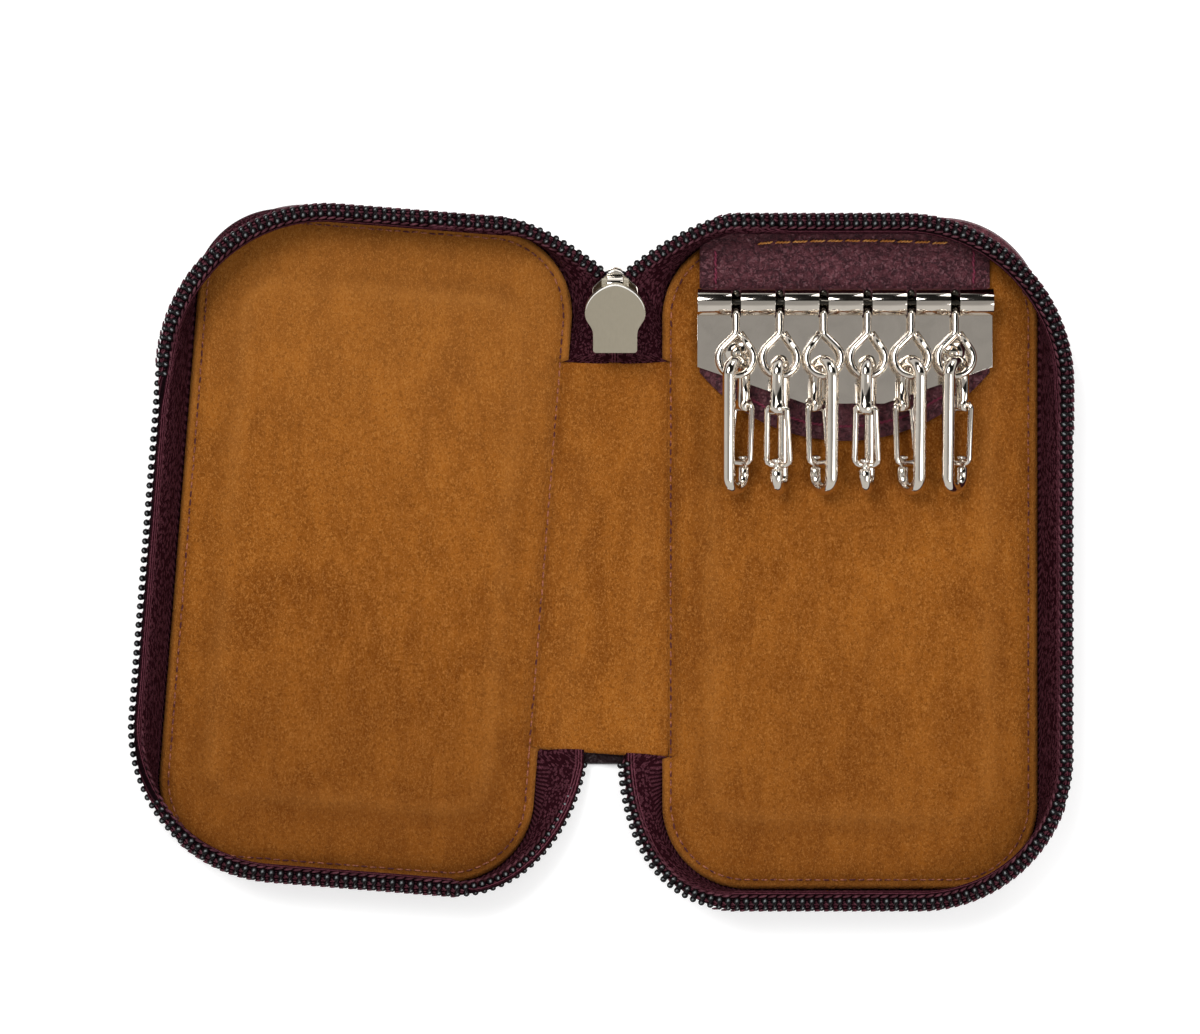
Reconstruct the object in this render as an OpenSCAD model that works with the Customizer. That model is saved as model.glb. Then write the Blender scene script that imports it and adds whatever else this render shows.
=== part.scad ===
/* [Covers] */
// Width of each lining panel, from its fold side to its outer side
lining_w = 57.5; // [54:0.5:60]
// Length of each lining panel, along the spine
lining_l = 100.3; // [96:0.1:106]
// Corner radius of the lining
lining_r = 13; // [11:0.5:15]
// Thickness of the suede lining
lining_t = 0.8; // [0.6:0.1:1]
// Thickness of the outer leather
leather_t = 1.2; // [1:0.1:1.5]
// How far the outer leather reaches past the lining
leather_rim = 1; // [0.9:0.1:1.3]
// How far the outer leather reaches past the lining's top end
leather_top = 2.8; // [1.5:0.1:3.2]
// Corner radius of the outer leather
leather_r = 15; // [12:0.5:17]
// Width of the stiffener board
board_w = 41; // [36:0.5:44]
// Length of the stiffener board
board_l = 77; // [70:0.5:82]
// Corner radius of the stiffener board
board_r = 4; // [2:0.5:8]
// Thickness of the stiffener board
board_t = 1.2; // [1:0.1:1.5]
// How far the left cover leans clockwise as the case lies open, in degrees
left_lean = 4.5; // [0:0.5:6]

/* [Spine] */
// Distance between the two fold lines
spine_w = 18.6; // [18.2:0.1:20]
// Length of the spine's outer leather
spine_leather_l = 62.4; // [60:0.1:64]
// Length of the spine's lining
spine_lining_l = 60.2; // [58:0.1:61]
// How far the spine's lining sits above the middle
spine_lining_shift = 0.9; // [0.5:0.1:1]
// Gap left along each fold
fold_gap = 0.3; // [0.2:0.05:0.4]
// How far the covers pass the fold line beyond the spine's ends
fold_overlap = 0.9; // [0.5:0.1:1.2]

/* [Zip] */
// How far the teeth stand out past the lining's outer side
zip_flare_side = 4.9; // [4:0.1:6]
// How far the teeth stand out past the lining's ends
zip_flare_end = 2.2; // [2.1:0.05:3]
// How far the teeth stand out past the lining's fold side
zip_flare_fold = 6.7; // [6:0.1:7]
// Radius of the row of teeth at the outer corners
zip_r_outer = 25; // [22:0.5:27]
// Radius of the row of teeth at the fold corners
zip_r_fold = 18; // [16:0.5:20]
// Width of the row of teeth with its cord
chain_w = 2.4; // [2:0.1:2.6]
// Height of the row of teeth
chain_t = 1.1; // [0.9:0.05:1.2]
// Distance from tooth to tooth
tooth_pitch = 1.42; // [1.3:0.02:1.6]
// How far each tooth stands out from the cord
tooth_depth = 1.3; // [1:0.05:1.4]
// Thickness of the tape
tape_t = 0.6; // [0.5:0.05:0.7]
// How far the tape's hem reaches in under the lining
tape_hem = 3; // [2:0.25:4]

/* [Slider] */
// Place of the slider across the case
slider_x = 1.15; // [0:0.05:2]
// Length of the slider body
slider_l = 7; // [6.6:0.1:7.4]
// Widest part of the slider body
slider_w = 7; // [6.4:0.1:7.2]
// Thickness of each slider plate
slider_plate_t = 0.8; // [0.6:0.05:0.9]
// Distance of the slider's middle from the spine, along the zip
slider_reach = 10.2; // [9.8:0.1:11]
// Rise of the joined zip end from the spine to the slider, in degrees
stub_rise = 16; // [12:1:18]
// Length of the pull tab
tab_l = 10.7; // [9.5:0.1:12]
// Widest part of the pull tab
tab_w = 9.2; // [8.4:0.1:10]
// Width of the pull tab's tail
tab_tail_w = 6.7; // [6:0.1:7.2]
// Thickness of the pull tab
tab_t = 1.4; // [1.1:0.1:1.6]
// Diameter of the pull tab's pin
tab_pin_d = 1; // [0.9:0.05:1.1]

/* [Key plate] */
// Width of the key plate
plate_w = 45.1; // [44:0.1:47]
// Distance of the plate's left side from the middle of the spine
plate_x = 13.75; // [13.5:0.05:15]
// Place of the rod along the case
rod_y = 39.7; // [39:0.1:40.5]
// Height of the plate below the rod, to the end of its straight sides
plate_side_h = 9.9; // [9:0.1:11]
// Height of the plate below the rod, to its flat bottom
plate_h = 15.5; // [15:0.1:16.5]
// Width of the plate's flat bottom
plate_flat_w = 12; // [10:0.5:16]
// Thickness of the sheet
plate_t = 0.7; // [0.6:0.05:0.8]
// Outside diameter of the rolled barrel
barrel_d = 4.2; // [4:0.1:4.4]
// Diameter of the rod
rod_d = 1.6; // [1.5:0.05:1.8]
// Distance from hanger to hanger
hook_pitch = 6.68; // [6.6:0.02:7]
// Width of each slot in the barrel
slot_w = 1.45; // [1.4:0.05:1.6]
// Thickness of the leather patch under the plate
patch_t = 1; // [0.8:0.1:1.2]
// Width of the leather patch
patch_w = 44.4; // [43:0.1:46]
// Place of the patch's lowest point along the case
patch_low_y = 18.5; // [17.5:0.1:20]
// Place where the patch's straight sides end
patch_side_y = 29; // [28:0.1:31]
// Diameter of the rivet heads
rivet_head_d = 4; // [3.6:0.1:4.4]
// Height of the rivet heads
rivet_head_h = 0.9; // [0.8:0.05:1]
// Diameter of the rivet shanks
rivet_d = 2; // [1.8:0.1:2.2]
// Distance of each rivet from the middle of the plate
rivet_reach = 16.5; // [16:0.1:17.5]
// Distance of the rivets below the rod
rivet_drop = 7.6; // [7.2:0.1:8]

/* [Hangers] */
// Diameter of the hanger wire
hanger_d = 1.1; // [1:0.05:1.15]
// Distance from the rod to the hanger's bottom wire
hanger_drop = 11.3; // [11:0.1:12]
// Radius of the hanger's round part, at the middle of the wire
hanger_r = 2.67; // [2.6:0.01:2.75]
// Upward slope of the hangers as they lie, in degrees
hanger_rise = 8.2; // [8:0.1:9.5]

/* [Snap hooks] */
// Diameter of the hook's body wire
hook_d = 1.95; // [1.85:0.05:2]
// Radius of the hook's bends, at the middle of the wire
hook_r = 2.05; // [2.02:0.01:2.1]
// Distance from the hanger's wire to the middle of the hook's lower bend
hook_l = 15.5; // [15:0.1:16]
// Distance from the hanger's wire to the gate's pivot
gate_drop = 4.8; // [4.6:0.1:5.2]
// Diameter of the gate wire
gate_d = 0.9; // [0.8:0.05:0.95]
// Spread of each gate arm, in degrees
gate_splay = 2; // [1.5:0.5:2.5]
// Downward slope of the hooks as they lie, in degrees
hook_fall = 8.8; // [8.6:0.1:9]
// Turn of each hook about its long axis, in degrees
hook_turns = [145, -15, -145, -12, -145, 145];

/* [Hidden] */
$fn = 64;

// Overrun of every cut
cut = 1;
// Radial clearance of every running fit
run_fit = 0.05;
// Clearance between pieces that only lie next to each other
rest_gap = 0.05;

// Folds: each hinge line runs along the top of the spine
fold_x = spine_w / 2;
fold_z = leather_t + lining_t;
// Middle plane of the closed case, above each open cover
mid_z = fold_z + fold_x;

// Levels of a cover's layers
board_z = leather_t;
lining_z = board_z + board_t;
lining_top = lining_z + lining_t;
patch_top = lining_top + patch_t;

// A cover's lining, from its fold side to its outer side
lining_x0 = fold_x - fold_overlap;
lining_x1 = lining_x0 + lining_w;
cover_x = (lining_x0 + lining_x1) / 2;
// Clearance of the covers around the spine's ends
zone_gap = 0.6;

// Paths round a cover: fold side, outer side, half length, fold radius, outer radius
lining_path = [lining_x0, lining_x1, lining_l / 2, lining_r, lining_r];
tip_path = [
    lining_x0 - zip_flare_fold, lining_x1 + zip_flare_side,
    lining_l / 2 + zip_flare_end, zip_r_fold, zip_r_outer
];

// Zip levels
chain_top = mid_z - rest_gap;
chain_z = chain_top - chain_t;
tape_top = chain_z - rest_gap;
hem_low = board_z + rest_gap;
hem_high = lining_z - rest_gap;
tape_foot = leather_rim - rest_gap;
tape_clear = 3 * rest_gap;
// Share of a tooth's pitch taken by its root, its tip and its flanks
tooth_root_share = 0.15;
tooth_tip_start_share = 0.3;
tooth_tip_end_share = 0.7;
tooth_end_share = 0.85;

// Joined end of the zip, between the spine and the slider
stub_y = spine_lining_l / 2 + spine_lining_shift + 2 * fold_gap;
stub_z = lining_top - board_t + 1.25 * lining_t;
stub_l = slider_reach - slider_l / 2;
// Far end of the zip, at the spine's other end
end_x = -slider_x * 0.7;
end_y = -spine_leather_l / 2 - 2 * fold_gap - rest_gap;
end_half = tooth_depth;

// Slider
slider_gap = chain_t + 4 * rest_gap;
slider_top = slider_gap / 2 + slider_plate_t;
post_d = tooth_depth;
pin_y = 0.23 * slider_l;
crown_r = tab_pin_d / 2 + 0.55 * tab_pin_d;
crown_w = 2.4 * tab_pin_d;
pin_z = slider_top + crown_r + 3 * rest_gap;
ear_w = 0.75 * tab_pin_d;
tab_z = crown_r + 2 * rest_gap;
tab_nose = 0.6 * tab_pin_d;

// Key row
plate_mid = plate_x + plate_w / 2;
plate_top = patch_top + plate_t;
rod_z = patch_top + barrel_d / 2 + rest_gap;
rivet_y = rod_y - rivet_drop;
clinch_h = 0.35 * patch_t;
clinch_d = 1.6 * rivet_d;
// Rise of each hook's place from the middle of the row, counted in pitches
row_shares = [-2.5, -1.5, -0.5, 0.5, 1.5, 2.5];
// Hanger: ring round the rod, front bend and opening of the loop
ring_r = rod_d / 2 + run_fit + hanger_d / 2;
ring_curl = 215;
ring_rise = 0.3 * hanger_d;
front_r = 0.75 * hanger_d;
stem_r = 1.2 * hanger_d;
stem_lean = 45;
open_lean = 34;
open_l = 1.08 * hanger_r;
hanger_run = (hanger_drop - ring_r - front_r * (1 - sin(hanger_rise))) / cos(hanger_rise);
hanger_z = ring_rise + front_r * cos(hanger_rise) + hanger_run * sin(hanger_rise);
diag_l = hanger_r * cos(stem_lean) / sin(stem_lean);
stem_l = hanger_run - hanger_r - hanger_r * sin(stem_lean) - diag_l * cos(stem_lean);
bend_cut = stem_r * tan(stem_lean / 2);

// Hook: how far its eye stands off the hanger's wire, and the shape of its tip
hook_lift = 2 * rest_gap;
tip_straight = 0.55 * hook_d;
tip_neck_start = 0.7 * hook_d;
tip_neck_end = 1.08 * hook_d;
tip_head_low = 1.23 * hook_d;
tip_head_high = 1.38 * hook_d;
tip_end = 1.5 * hook_d;
neck_r = 0.25 * hook_d;
head_r = 0.425 * hook_d;
boss_r = 0.575 * hook_d;
boss_w = 1.05 * hook_d;
// Gate: its bar lies in the neck, on the inner side of the tip
bar_drop = hook_l - (tip_neck_start + tip_neck_end) / 2;
bar_in = neck_r + gate_d / 2 + rest_gap;
gate_run = sqrt((bar_drop - gate_drop) * (bar_drop - gate_drop) + bar_in * bar_in);
gate_tilt = asin(bar_in / gate_run);
arm_x = boss_w / 2 + gate_d / 2 + rest_gap;
bar_x = arm_x + gate_run * tan(gate_splay);
gate_r1 = 0.6 * gate_d;
gate_r2 = 1.1 * gate_d;

// Plain helpers

function lerp(a, b, t) = a + (b - a) * t;

function clamp01(t) = max(0, min(1, t));

// Point of a rounded path: u runs from the fold side to the outer side, v from
// bottom to top, and a is the direction in which the path faces
function rim(path, u, v, a, out = 0) =
    let (
        r = lerp(path[3], path[4], u),
        x = lerp(path[0] + path[3], path[1] - path[4], u),
        y = v * (path[2] - r)
    )
    [x + (r + out) * cos(a), y + (r + out) * sin(a)];

// Stations round the free sides of a cover, each as [u, v, a]
straight_steps = 5;
corner_steps = 12;
side_steps = 8;
rim_stations = concat(
    [for (i = [0:straight_steps - 1]) [i / straight_steps, 1, 90]],
    [for (i = [0:corner_steps]) [1, 1, 90 - 90 * i / corner_steps]],
    [for (i = [1:side_steps - 1]) [1, 1 - 2 * i / side_steps, 0]],
    [for (i = [0:corner_steps]) [1, -1, -90 * i / corner_steps]],
    [for (i = [1:straight_steps]) [1 - i / straight_steps, -1, -90]]
);

// Length of the free sides' path, and the point and facing at a distance along it
top_run = tip_path[1] - tip_path[4] - tip_path[0] - tip_path[3];
corner_run = PI / 2 * tip_path[4];
side_run = 2 * (tip_path[2] - tip_path[4]);
free_run = 2 * top_run + 2 * corner_run + side_run;

function along(s) =
    s < top_run ? [s / top_run, 1, 90]
    : s < top_run + corner_run ? [1, 1, 90 - 90 * (s - top_run) / corner_run]
    : s < top_run + corner_run + side_run ?
        [1, 1 - 2 * (s - top_run - corner_run) / side_run, 0]
    : s < top_run + 2 * corner_run + side_run ?
        [1, -1, -90 * (s - top_run - corner_run - side_run) / corner_run]
    : [clamp01((free_run - s) / top_run), -1, -90];

function tip_at(s, out) = let (k = along(s)) rim(tip_path, k[0], k[1], k[2], out);

tooth_count = floor(free_run / tooth_pitch);
tooth_step = free_run / tooth_count;

// Place of the left cover: the right one mirrored and leaned about its fold
function lean_left(p) =
    let (dx = -p[0] + fold_x, dy = p[1], c = cos(left_lean), s = sin(left_lean))
    [dx * c + dy * s - fold_x, -dx * s + dy * c, p[2]];

function on_cover(p, left) = left ? lean_left(p) : p;

module left_place() {
    translate([-fold_x, 0, 0]) rotate([0, 0, -left_lean])
        translate([fold_x, 0, 0]) mirror([1, 0, 0]) children();
}

// A closed skin over rings of equal length, with flat ends given as strips
module skin(rings, caps, turned = false) {
    n = len(rings[0]);
    last = (len(rings) - 1) * n;
    pts = [for (r = rings) for (p = r) p];
    sides = [
        for (i = [0:len(rings) - 2]) for (j = [0:n - 1])
            let (
                a = i * n + j,
                b = i * n + (j + 1) % n,
                c = a + n,
                d = b + n
            )
            each [[a, b, d], [a, d, c]]
    ];
    low = [for (f = caps) f];
    high = [for (f = caps) [for (k = [len(f) - 1:-1:0]) f[k] + last]];
    all = concat(sides, [for (f = low) [for (k = [len(f) - 1:-1:0]) f[k]]],
        [for (f = high) [for (k = [len(f) - 1:-1:0]) f[k]]]);
    polyhedron(pts, turned ? [for (f = all) [for (k = [len(f) - 1:-1:0]) f[k]]] : all);
}

// A round wire: each step is [straight, bend radius, bend angle, roll before it]
module wire(steps, r, i = 0) {
    if (i < len(steps)) {
        s = steps[i];
        rotate([0, 0, s[3]]) {
            if (s[0] > 0) cylinder(r = r, h = s[0]);
            translate([0, 0, s[0]]) {
                if (s[2] > 0) {
                    translate([s[1], 0, 0]) rotate([90, 0, 180])
                        rotate_extrude(angle = s[2]) translate([s[1], 0]) circle(r);
                    translate([s[1], 0, 0]) rotate([0, s[2], 0])
                        translate([-s[1], 0, 0]) wire(steps, r, i + 1);
                } else {
                    wire(steps, r, i + 1);
                }
            }
        }
    }
}

// Flat outline with a rounded corner at each end of its outer and fold sides
module rounded(x0, x1, half_l, r) {
    translate([x0 + r, -half_l]) square([x1 - x0 - 2 * r, 2 * half_l]);
    translate([x0, -half_l + r]) square([x1 - x0, 2 * half_l - 2 * r]);
    for (x = [x0 + r, x1 - r]) for (y = [-half_l + r, half_l - r])
        translate([x, y]) circle(r);
}

// The part of a cover that gives way to the spine, up to a gap past the fold
module spine_zone(gap = fold_gap) {
    half = spine_leather_l / 2 + zone_gap;
    translate([-cut, -half]) square([fold_x + gap + cut, 2 * half]);
}

// Outline of the spine between y0 and y1, with its left side along the leaning fold
module spine_outline(y0, y1) {
    t = tan(left_lean);
    polygon([
        [-fold_x + y0 * t, y0], [fold_x, y0], [fold_x, y1], [-fold_x + y1 * t, y1]
    ]);
}

// Covers, drawn as the right one

module cover_leather() {
    linear_extrude(leather_t) difference() {
        translate([0, (leather_top - leather_rim) / 2])
            rounded(lining_x0 - leather_rim, lining_x1 + leather_rim,
                (lining_l + leather_rim + leather_top) / 2, leather_r);
        spine_zone(1.6 * fold_gap);
    }
}

module cover_board() {
    translate([cover_x, 0, board_z]) linear_extrude(board_t)
        rounded(-board_w / 2, board_w / 2, board_l / 2, board_r);
}

module cover_lining() {
    translate([0, 0, lining_z]) linear_extrude(lining_t) difference() {
        rounded(lining_x0, lining_x1, lining_l / 2, lining_r);
        spine_zone();
    }
}

// One section of the tape: a hem under the lining and a wall up to the teeth
function tape_section(k) =
    let (
        l = function (out) rim(lining_path, k[0], k[1], k[2], out),
        c = function (out) rim(tip_path, k[0], k[1], k[2], out),
        in = -chain_w,
        at = function (p, z) [p[0], p[1], z]
    )
    [
        at(l(-tape_hem), hem_low), at(l(tape_foot), hem_low),
        at(c(in + tape_t), tape_top), at(c(in), tape_top),
        at(l(tape_clear), hem_high), at(l(-tape_hem), hem_high)
    ];

module cover_tape() {
    skin([for (k = rim_stations) tape_section(k)], [[0, 1, 4, 5], [1, 2, 3, 4]]);
}

module cover_teeth() {
    tips = [
        for (i = [0:tooth_count - 1]) each [
            tip_at((i + tooth_root_share) * tooth_step, -tooth_depth),
            tip_at((i + tooth_tip_start_share) * tooth_step, 0),
            tip_at((i + tooth_tip_end_share) * tooth_step, 0),
            tip_at((i + tooth_end_share) * tooth_step, -tooth_depth)
        ]
    ];
    cord = [for (i = [tooth_count:-2:0]) tip_at(i * tooth_step, -chain_w)];
    translate([0, 0, chain_z]) linear_extrude(chain_t) polygon(concat(tips, cord));
}

// Leads: where the zip leaves a cover and runs across the notch to the spine

function bezier(p, t) =
    let (s = 1 - t)
    s * s * s * p[0] + 3 * s * s * t * p[1] + 3 * s * t * t * p[2] + t * t * t * p[3];

function stub_point(x, y, z) = [
    slider_x + x,
    stub_y + y * cos(stub_rise) - z * sin(stub_rise),
    stub_z + y * sin(stub_rise) + z * cos(stub_rise)
];

// Shares of the cover's free length that the lead's bends take
lead_bend_shares = [0.15, 0.23];
lead_level = chain_z + chain_t / 2;
lead_x = tip_path[0] + tip_path[3];
lead_y = tip_path[2];
lead_nose = slider_reach + slider_l / 2 - post_d / 2;

// Control points of a lead's line of tooth tips
function lead_curve(left, top) =
    let (
        side = left ? -1 : 1,
        v = top ? 1 : -1,
        start = on_cover([lead_x, v * lead_y, lead_level], left),
        first = on_cover(
            [lead_x - (top ? 2.1 : 3.3) * lead_bend_shares[0] * lead_x, v * lead_y, lead_level],
            left
        ),
        finish = top ? stub_point(side * (post_d / 2 + 2 * rest_gap), lead_nose, 0)
            : [end_x + side * end_half, end_y, fold_z + chain_t],
        before = top ? stub_point(side * 2 * post_d, lead_nose + 0.25 * slider_l, 0)
            : [end_x + side * 2 * end_half, end_y - 0.23 * lead_y, 0.6 * mid_z]
    )
    [start, first, before, finish];

lead_tooth_count = 17;

// Direction in which a lead's teeth point, level at its cover and along the slider's
// plates at its end
function lead_facing(curve, t, left, top) =
    let (
        d = 0.01,
        a = bezier(curve, max(0, t - d)),
        b = bezier(curve, min(1, t + d)),
        h = [b[0] - a[0], b[1] - a[1], 0],
        turn = (left ? 1 : -1) * (top ? 1 : -1),
        f = [-h[1] * turn, h[0] * turn, 0] / norm(h)
    )
    f + [0, 0, top ? f[1] * tan(stub_rise) * t : 0];

function lead_ring(p, m, depth) =
    let (low = [0, 0, -chain_t / 2], high = [0, 0, chain_t / 2])
    [p - depth * m + low, p - chain_w * m + low, p - chain_w * m + high, p - depth * m + high];

// Seam between a cover's own zip and its leads, as a share of the lead
lead_seam_share = 0.004;

module lead_teeth(left, top) {
    curve = lead_curve(left, top);
    n = 2 * lead_tooth_count;
    rings = [
        for (i = [0:n])
            let (t = lerp(lead_seam_share, 1, i / n))
            lead_ring(bezier(curve, t), lead_facing(curve, t, left, top),
                i % 2 == 0 ? tooth_depth : 0)
    ];
    skin(rings, [[0, 1, 2, 3]], left != top);
}

// Lead tape: from the cover's edge, with a flat knee before it reaches the teeth
lead_knee = 1.6 * chain_w;
lead_corner_steps = 10;
lead_side_steps = 3;
side_share = (spine_leather_l / 2 + zone_gap + 4 * rest_gap) / (lining_l / 2 - lining_r);
lead_stations = concat(
    [for (i = [0:lead_corner_steps]) [0, 1, 90 + 90 * i / lead_corner_steps]],
    [for (i = [1:lead_side_steps]) [0, lerp(1, side_share, i / lead_side_steps), 180]]
);
lead_last = lead_corner_steps + lead_side_steps;

module lead_tape(left, top) {
    curve = lead_curve(left, top);
    v = top ? 1 : -1;
    rings = [
        for (i = [0:lead_last])
            let (
                k = lead_stations[i],
                share = lerp(lead_seam_share, 1, i / lead_last),
                on_stub = top && i > lead_corner_steps,
                t = top ? min(1, share * lead_last / lead_corner_steps) : share,
                m = lead_facing(curve, t, left, top),
                tip = on_stub ? stub_point(0, lerp(lead_nose, rest_gap,
                    (i - lead_corner_steps) / lead_side_steps), 0) : bezier(curve, t),
                face = on_stub ? [left ? 1 : -1, 0, 0] : m,
                low = rim(lining_path, k[0], k[1], k[2], tape_foot),
                high = rim(lining_path, k[0], k[1], k[2], tape_clear),
                base_low = on_cover([low[0], v * low[1], hem_low], left),
                base_high = on_cover([high[0], v * high[1], hem_high], left),
                edge = tip - (chain_w + rest_gap) * face,
                knee = tip - lerp(chain_w + 2 * tape_t, lead_knee, clamp01(2 * t)) * face,
                half = [0, 0, tape_t / 2]
            )
            [base_low, base_high, knee + half, edge + half, edge - half,
                knee + tape_t * face - half]
    ];
    skin(rings, [[0, 1, 2, 5], [2, 3, 4, 5]], left == top);
}

// Joined zip end between the spine and the slider

module stub_teeth(left) {
    side = left ? -1 : 1;
    count = floor(stub_l / tooth_pitch);
    step = (stub_l - 2 * rest_gap) / count;
    outline = [
        for (i = [0:count - 1]) each [
            [side * 2 * rest_gap, rest_gap + (i + tooth_root_share) * step],
            [side * rest_gap, rest_gap + (i + tooth_tip_start_share) * step],
            [side * rest_gap, rest_gap + (i + tooth_tip_end_share) * step],
            [side * 2 * rest_gap, rest_gap + (i + tooth_end_share) * step]
        ]
    ];
    edge = [[side * chain_w, stub_l - rest_gap], [side * chain_w, rest_gap]];
    stub_place() translate([0, 0, -chain_t / 2]) linear_extrude(chain_t)
        polygon(concat(outline, edge));
}

module stub_place() {
    translate([slider_x, stub_y, stub_z]) rotate([stub_rise, 0, 0]) children();
}

// Slider

module slider_outline() {
    shoulder_r = 0.18 * slider_w;
    nose_r = 0.22 * slider_w;
    tail_r = 0.08 * slider_w;
    hull() {
        for (side = [-1, 1]) {
            translate([side * (slider_w / 2 - shoulder_r), 0.04 * slider_l])
                circle(shoulder_r, $fn = 32);
            translate([side * (0.36 * slider_w - tail_r), tail_r - slider_l / 2])
                circle(tail_r, $fn = 32);
        }
        translate([0, slider_l / 2 - nose_r]) circle(nose_r, $fn = 32);
    }
}

module slider_frame() {
    stub_place() translate([0, slider_reach, 0]) children();
}

module slider_body() {
    color("silver") slider_frame() difference() {
        union() {
            for (z = [-slider_top, slider_gap / 2])
                translate([0, 0, z]) linear_extrude(slider_plate_t) slider_outline();
            translate([0, slider_l / 2 - post_d, -slider_gap / 2 - rest_gap])
                cylinder(d = post_d, h = slider_gap + 2 * rest_gap);
            translate([-crown_w / 2, pin_y, pin_z]) rotate([0, 90, 0])
                cylinder(r = crown_r, h = crown_w);
            translate([-crown_w / 2, pin_y - 0.8 * crown_r, slider_top - rest_gap])
                cube([crown_w, 1.6 * crown_r, pin_z - slider_top]);
        }
        translate([-crown_w / 2 - cut, pin_y, pin_z]) rotate([0, 90, 0])
            cylinder(d = tab_pin_d + 2 * run_fit, h = crown_w + 2 * cut);
    }
}

// The tab: a pointed round head that draws in to a straight tail
module tab_outline() {
    half = tab_w / 2;
    tail = tab_tail_w / 2;
    foot_r = 0.05 * tab_w;
    head = [[0, 0], [0.33 * half, 0], [half, 0.16 * tab_l], [half, 0.43 * tab_l]];
    neck = [
        [half, 0.43 * tab_l], [half, 0.56 * tab_l], [tail, 0.6 * tab_l], [tail, 0.74 * tab_l]
    ];
    side = concat(
        [for (i = [0:12]) bezier(head, i / 12)],
        [for (i = [1:8]) bezier(neck, i / 8)]
    );
    last = len(side) - 1;
    translate([0, tab_nose]) {
        polygon(concat(
            [for (p = side) [p[0], -p[1]]],
            [for (i = [last:-1:1]) [-side[i][0], -side[i][1]]]
        ));
        hull() {
            translate([-tail, -0.76 * tab_l]) square([2 * tail, 0.04 * tab_l]);
            for (x = [foot_r - tail, tail - foot_r])
                translate([x, foot_r - tab_l]) circle(foot_r, $fn = 24);
        }
    }
}

module pull_tab() {
    ear_x = crown_w / 2 + 2 * rest_gap;
    color("lightgray") slider_frame() translate([0, pin_y, pin_z]) {
        translate([0, 0, tab_z]) linear_extrude(tab_t) tab_outline();
        for (x = [-ear_x - ear_w, ear_x]) translate([x, 0, 0]) {
            rotate([0, 90, 0]) cylinder(r = 0.9 * crown_r, h = ear_w);
            translate([0, -0.75 * crown_r, 0])
                cube([ear_w, 1.2 * crown_r, tab_z + rest_gap]);
        }
        translate([-ear_x - ear_w / 2, 0, 0]) rotate([0, 90, 0])
            cylinder(d = tab_pin_d, h = 2 * ear_x + ear_w);
    }
}

// Key row

module patch_outline() {
    half = patch_w / 2;
    sag = patch_side_y - patch_low_y;
    r = (half * half + sag * sag) / (2 * sag);
    top = lining_l / 2;
    intersection() {
        union() {
            translate([plate_mid - half, patch_side_y])
                square([patch_w, top - patch_side_y]);
            intersection() {
                translate([plate_mid, patch_low_y + r]) circle(r);
                translate([plate_mid - half, patch_low_y - cut])
                    square([patch_w, sag + 2 * cut]);
            }
        }
        rounded(lining_x0, lining_x1, lining_l / 2 - 2 * fold_gap, lining_r);
    }
}

module at_rivets() {
    for (side = [-1, 1]) translate([plate_mid + side * rivet_reach, rivet_y, 0]) children();
}

module key_patch() {
    color("#4a1c2e") difference() {
        translate([0, 0, lining_top]) linear_extrude(patch_t) patch_outline();
        at_rivets() {
            translate([0, 0, lining_top - cut])
                cylinder(d = rivet_d + 2 * run_fit, h = patch_t + 2 * cut);
            translate([0, 0, lining_top - cut])
                cylinder(d = clinch_d + 2 * run_fit, h = clinch_h + rest_gap + cut);
        }
    }
}

module plate_outline() {
    x0 = plate_x;
    x1 = plate_x + plate_w;
    polygon([
        [x0, rod_y], [x0, rod_y - plate_side_h],
        [plate_mid - plate_flat_w / 2, rod_y - plate_h],
        [plate_mid + plate_flat_w / 2, rod_y - plate_h],
        [x1, rod_y - plate_side_h], [x1, rod_y]
    ]);
}

module key_plate() {
    slot_half = barrel_d / 2 + 5 * rest_gap;
    color("gainsboro") difference() {
        union() {
            translate([0, 0, patch_top]) linear_extrude(plate_t) plate_outline();
            translate([plate_x, rod_y, rod_z]) rotate([0, 90, 0])
                cylinder(d = barrel_d, h = plate_w);
        }
        translate([plate_x - cut, rod_y, rod_z]) rotate([0, 90, 0])
            cylinder(d = rod_d + 2 * run_fit, h = plate_w + 2 * cut);
        for (share = row_shares)
            translate([plate_mid + share * hook_pitch - slot_w / 2, rod_y - slot_half,
                patch_top - cut])
                cube([slot_w, 2 * slot_half, barrel_d + 2 * cut]);
        at_rivets() translate([0, 0, patch_top - cut])
            cylinder(d = rivet_d + 2 * run_fit, h = plate_t + 2 * cut);
    }
}

module key_rod() {
    color("silver") translate([plate_x + rest_gap, rod_y, rod_z]) rotate([0, 90, 0])
        cylinder(d = rod_d, h = plate_w - 2 * rest_gap);
}

// Rivet: clinched foot in the patch, shank and domed head
module rivet(side) {
    cap_r = (rivet_head_d * rivet_head_d / 4 + rivet_head_h * rivet_head_h)
        / (2 * rivet_head_h);
    color("silver") translate([plate_mid + side * rivet_reach, rivet_y, 0]) {
        translate([0, 0, lining_top + rest_gap]) cylinder(d = clinch_d, h = clinch_h - rest_gap);
        translate([0, 0, lining_top + 2 * rest_gap])
            cylinder(d = rivet_d, h = patch_t + plate_t);
        translate([0, 0, plate_top + rest_gap]) intersection() {
            translate([0, 0, rivet_head_h - cap_r]) sphere(cap_r);
            cylinder(d = rivet_head_d, h = rivet_head_h + cut);
        }
    }
}

// Hangers and hooks, counted from the left

function row_x(k) = plate_mid + row_shares[k - 1] * hook_pitch;

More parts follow.
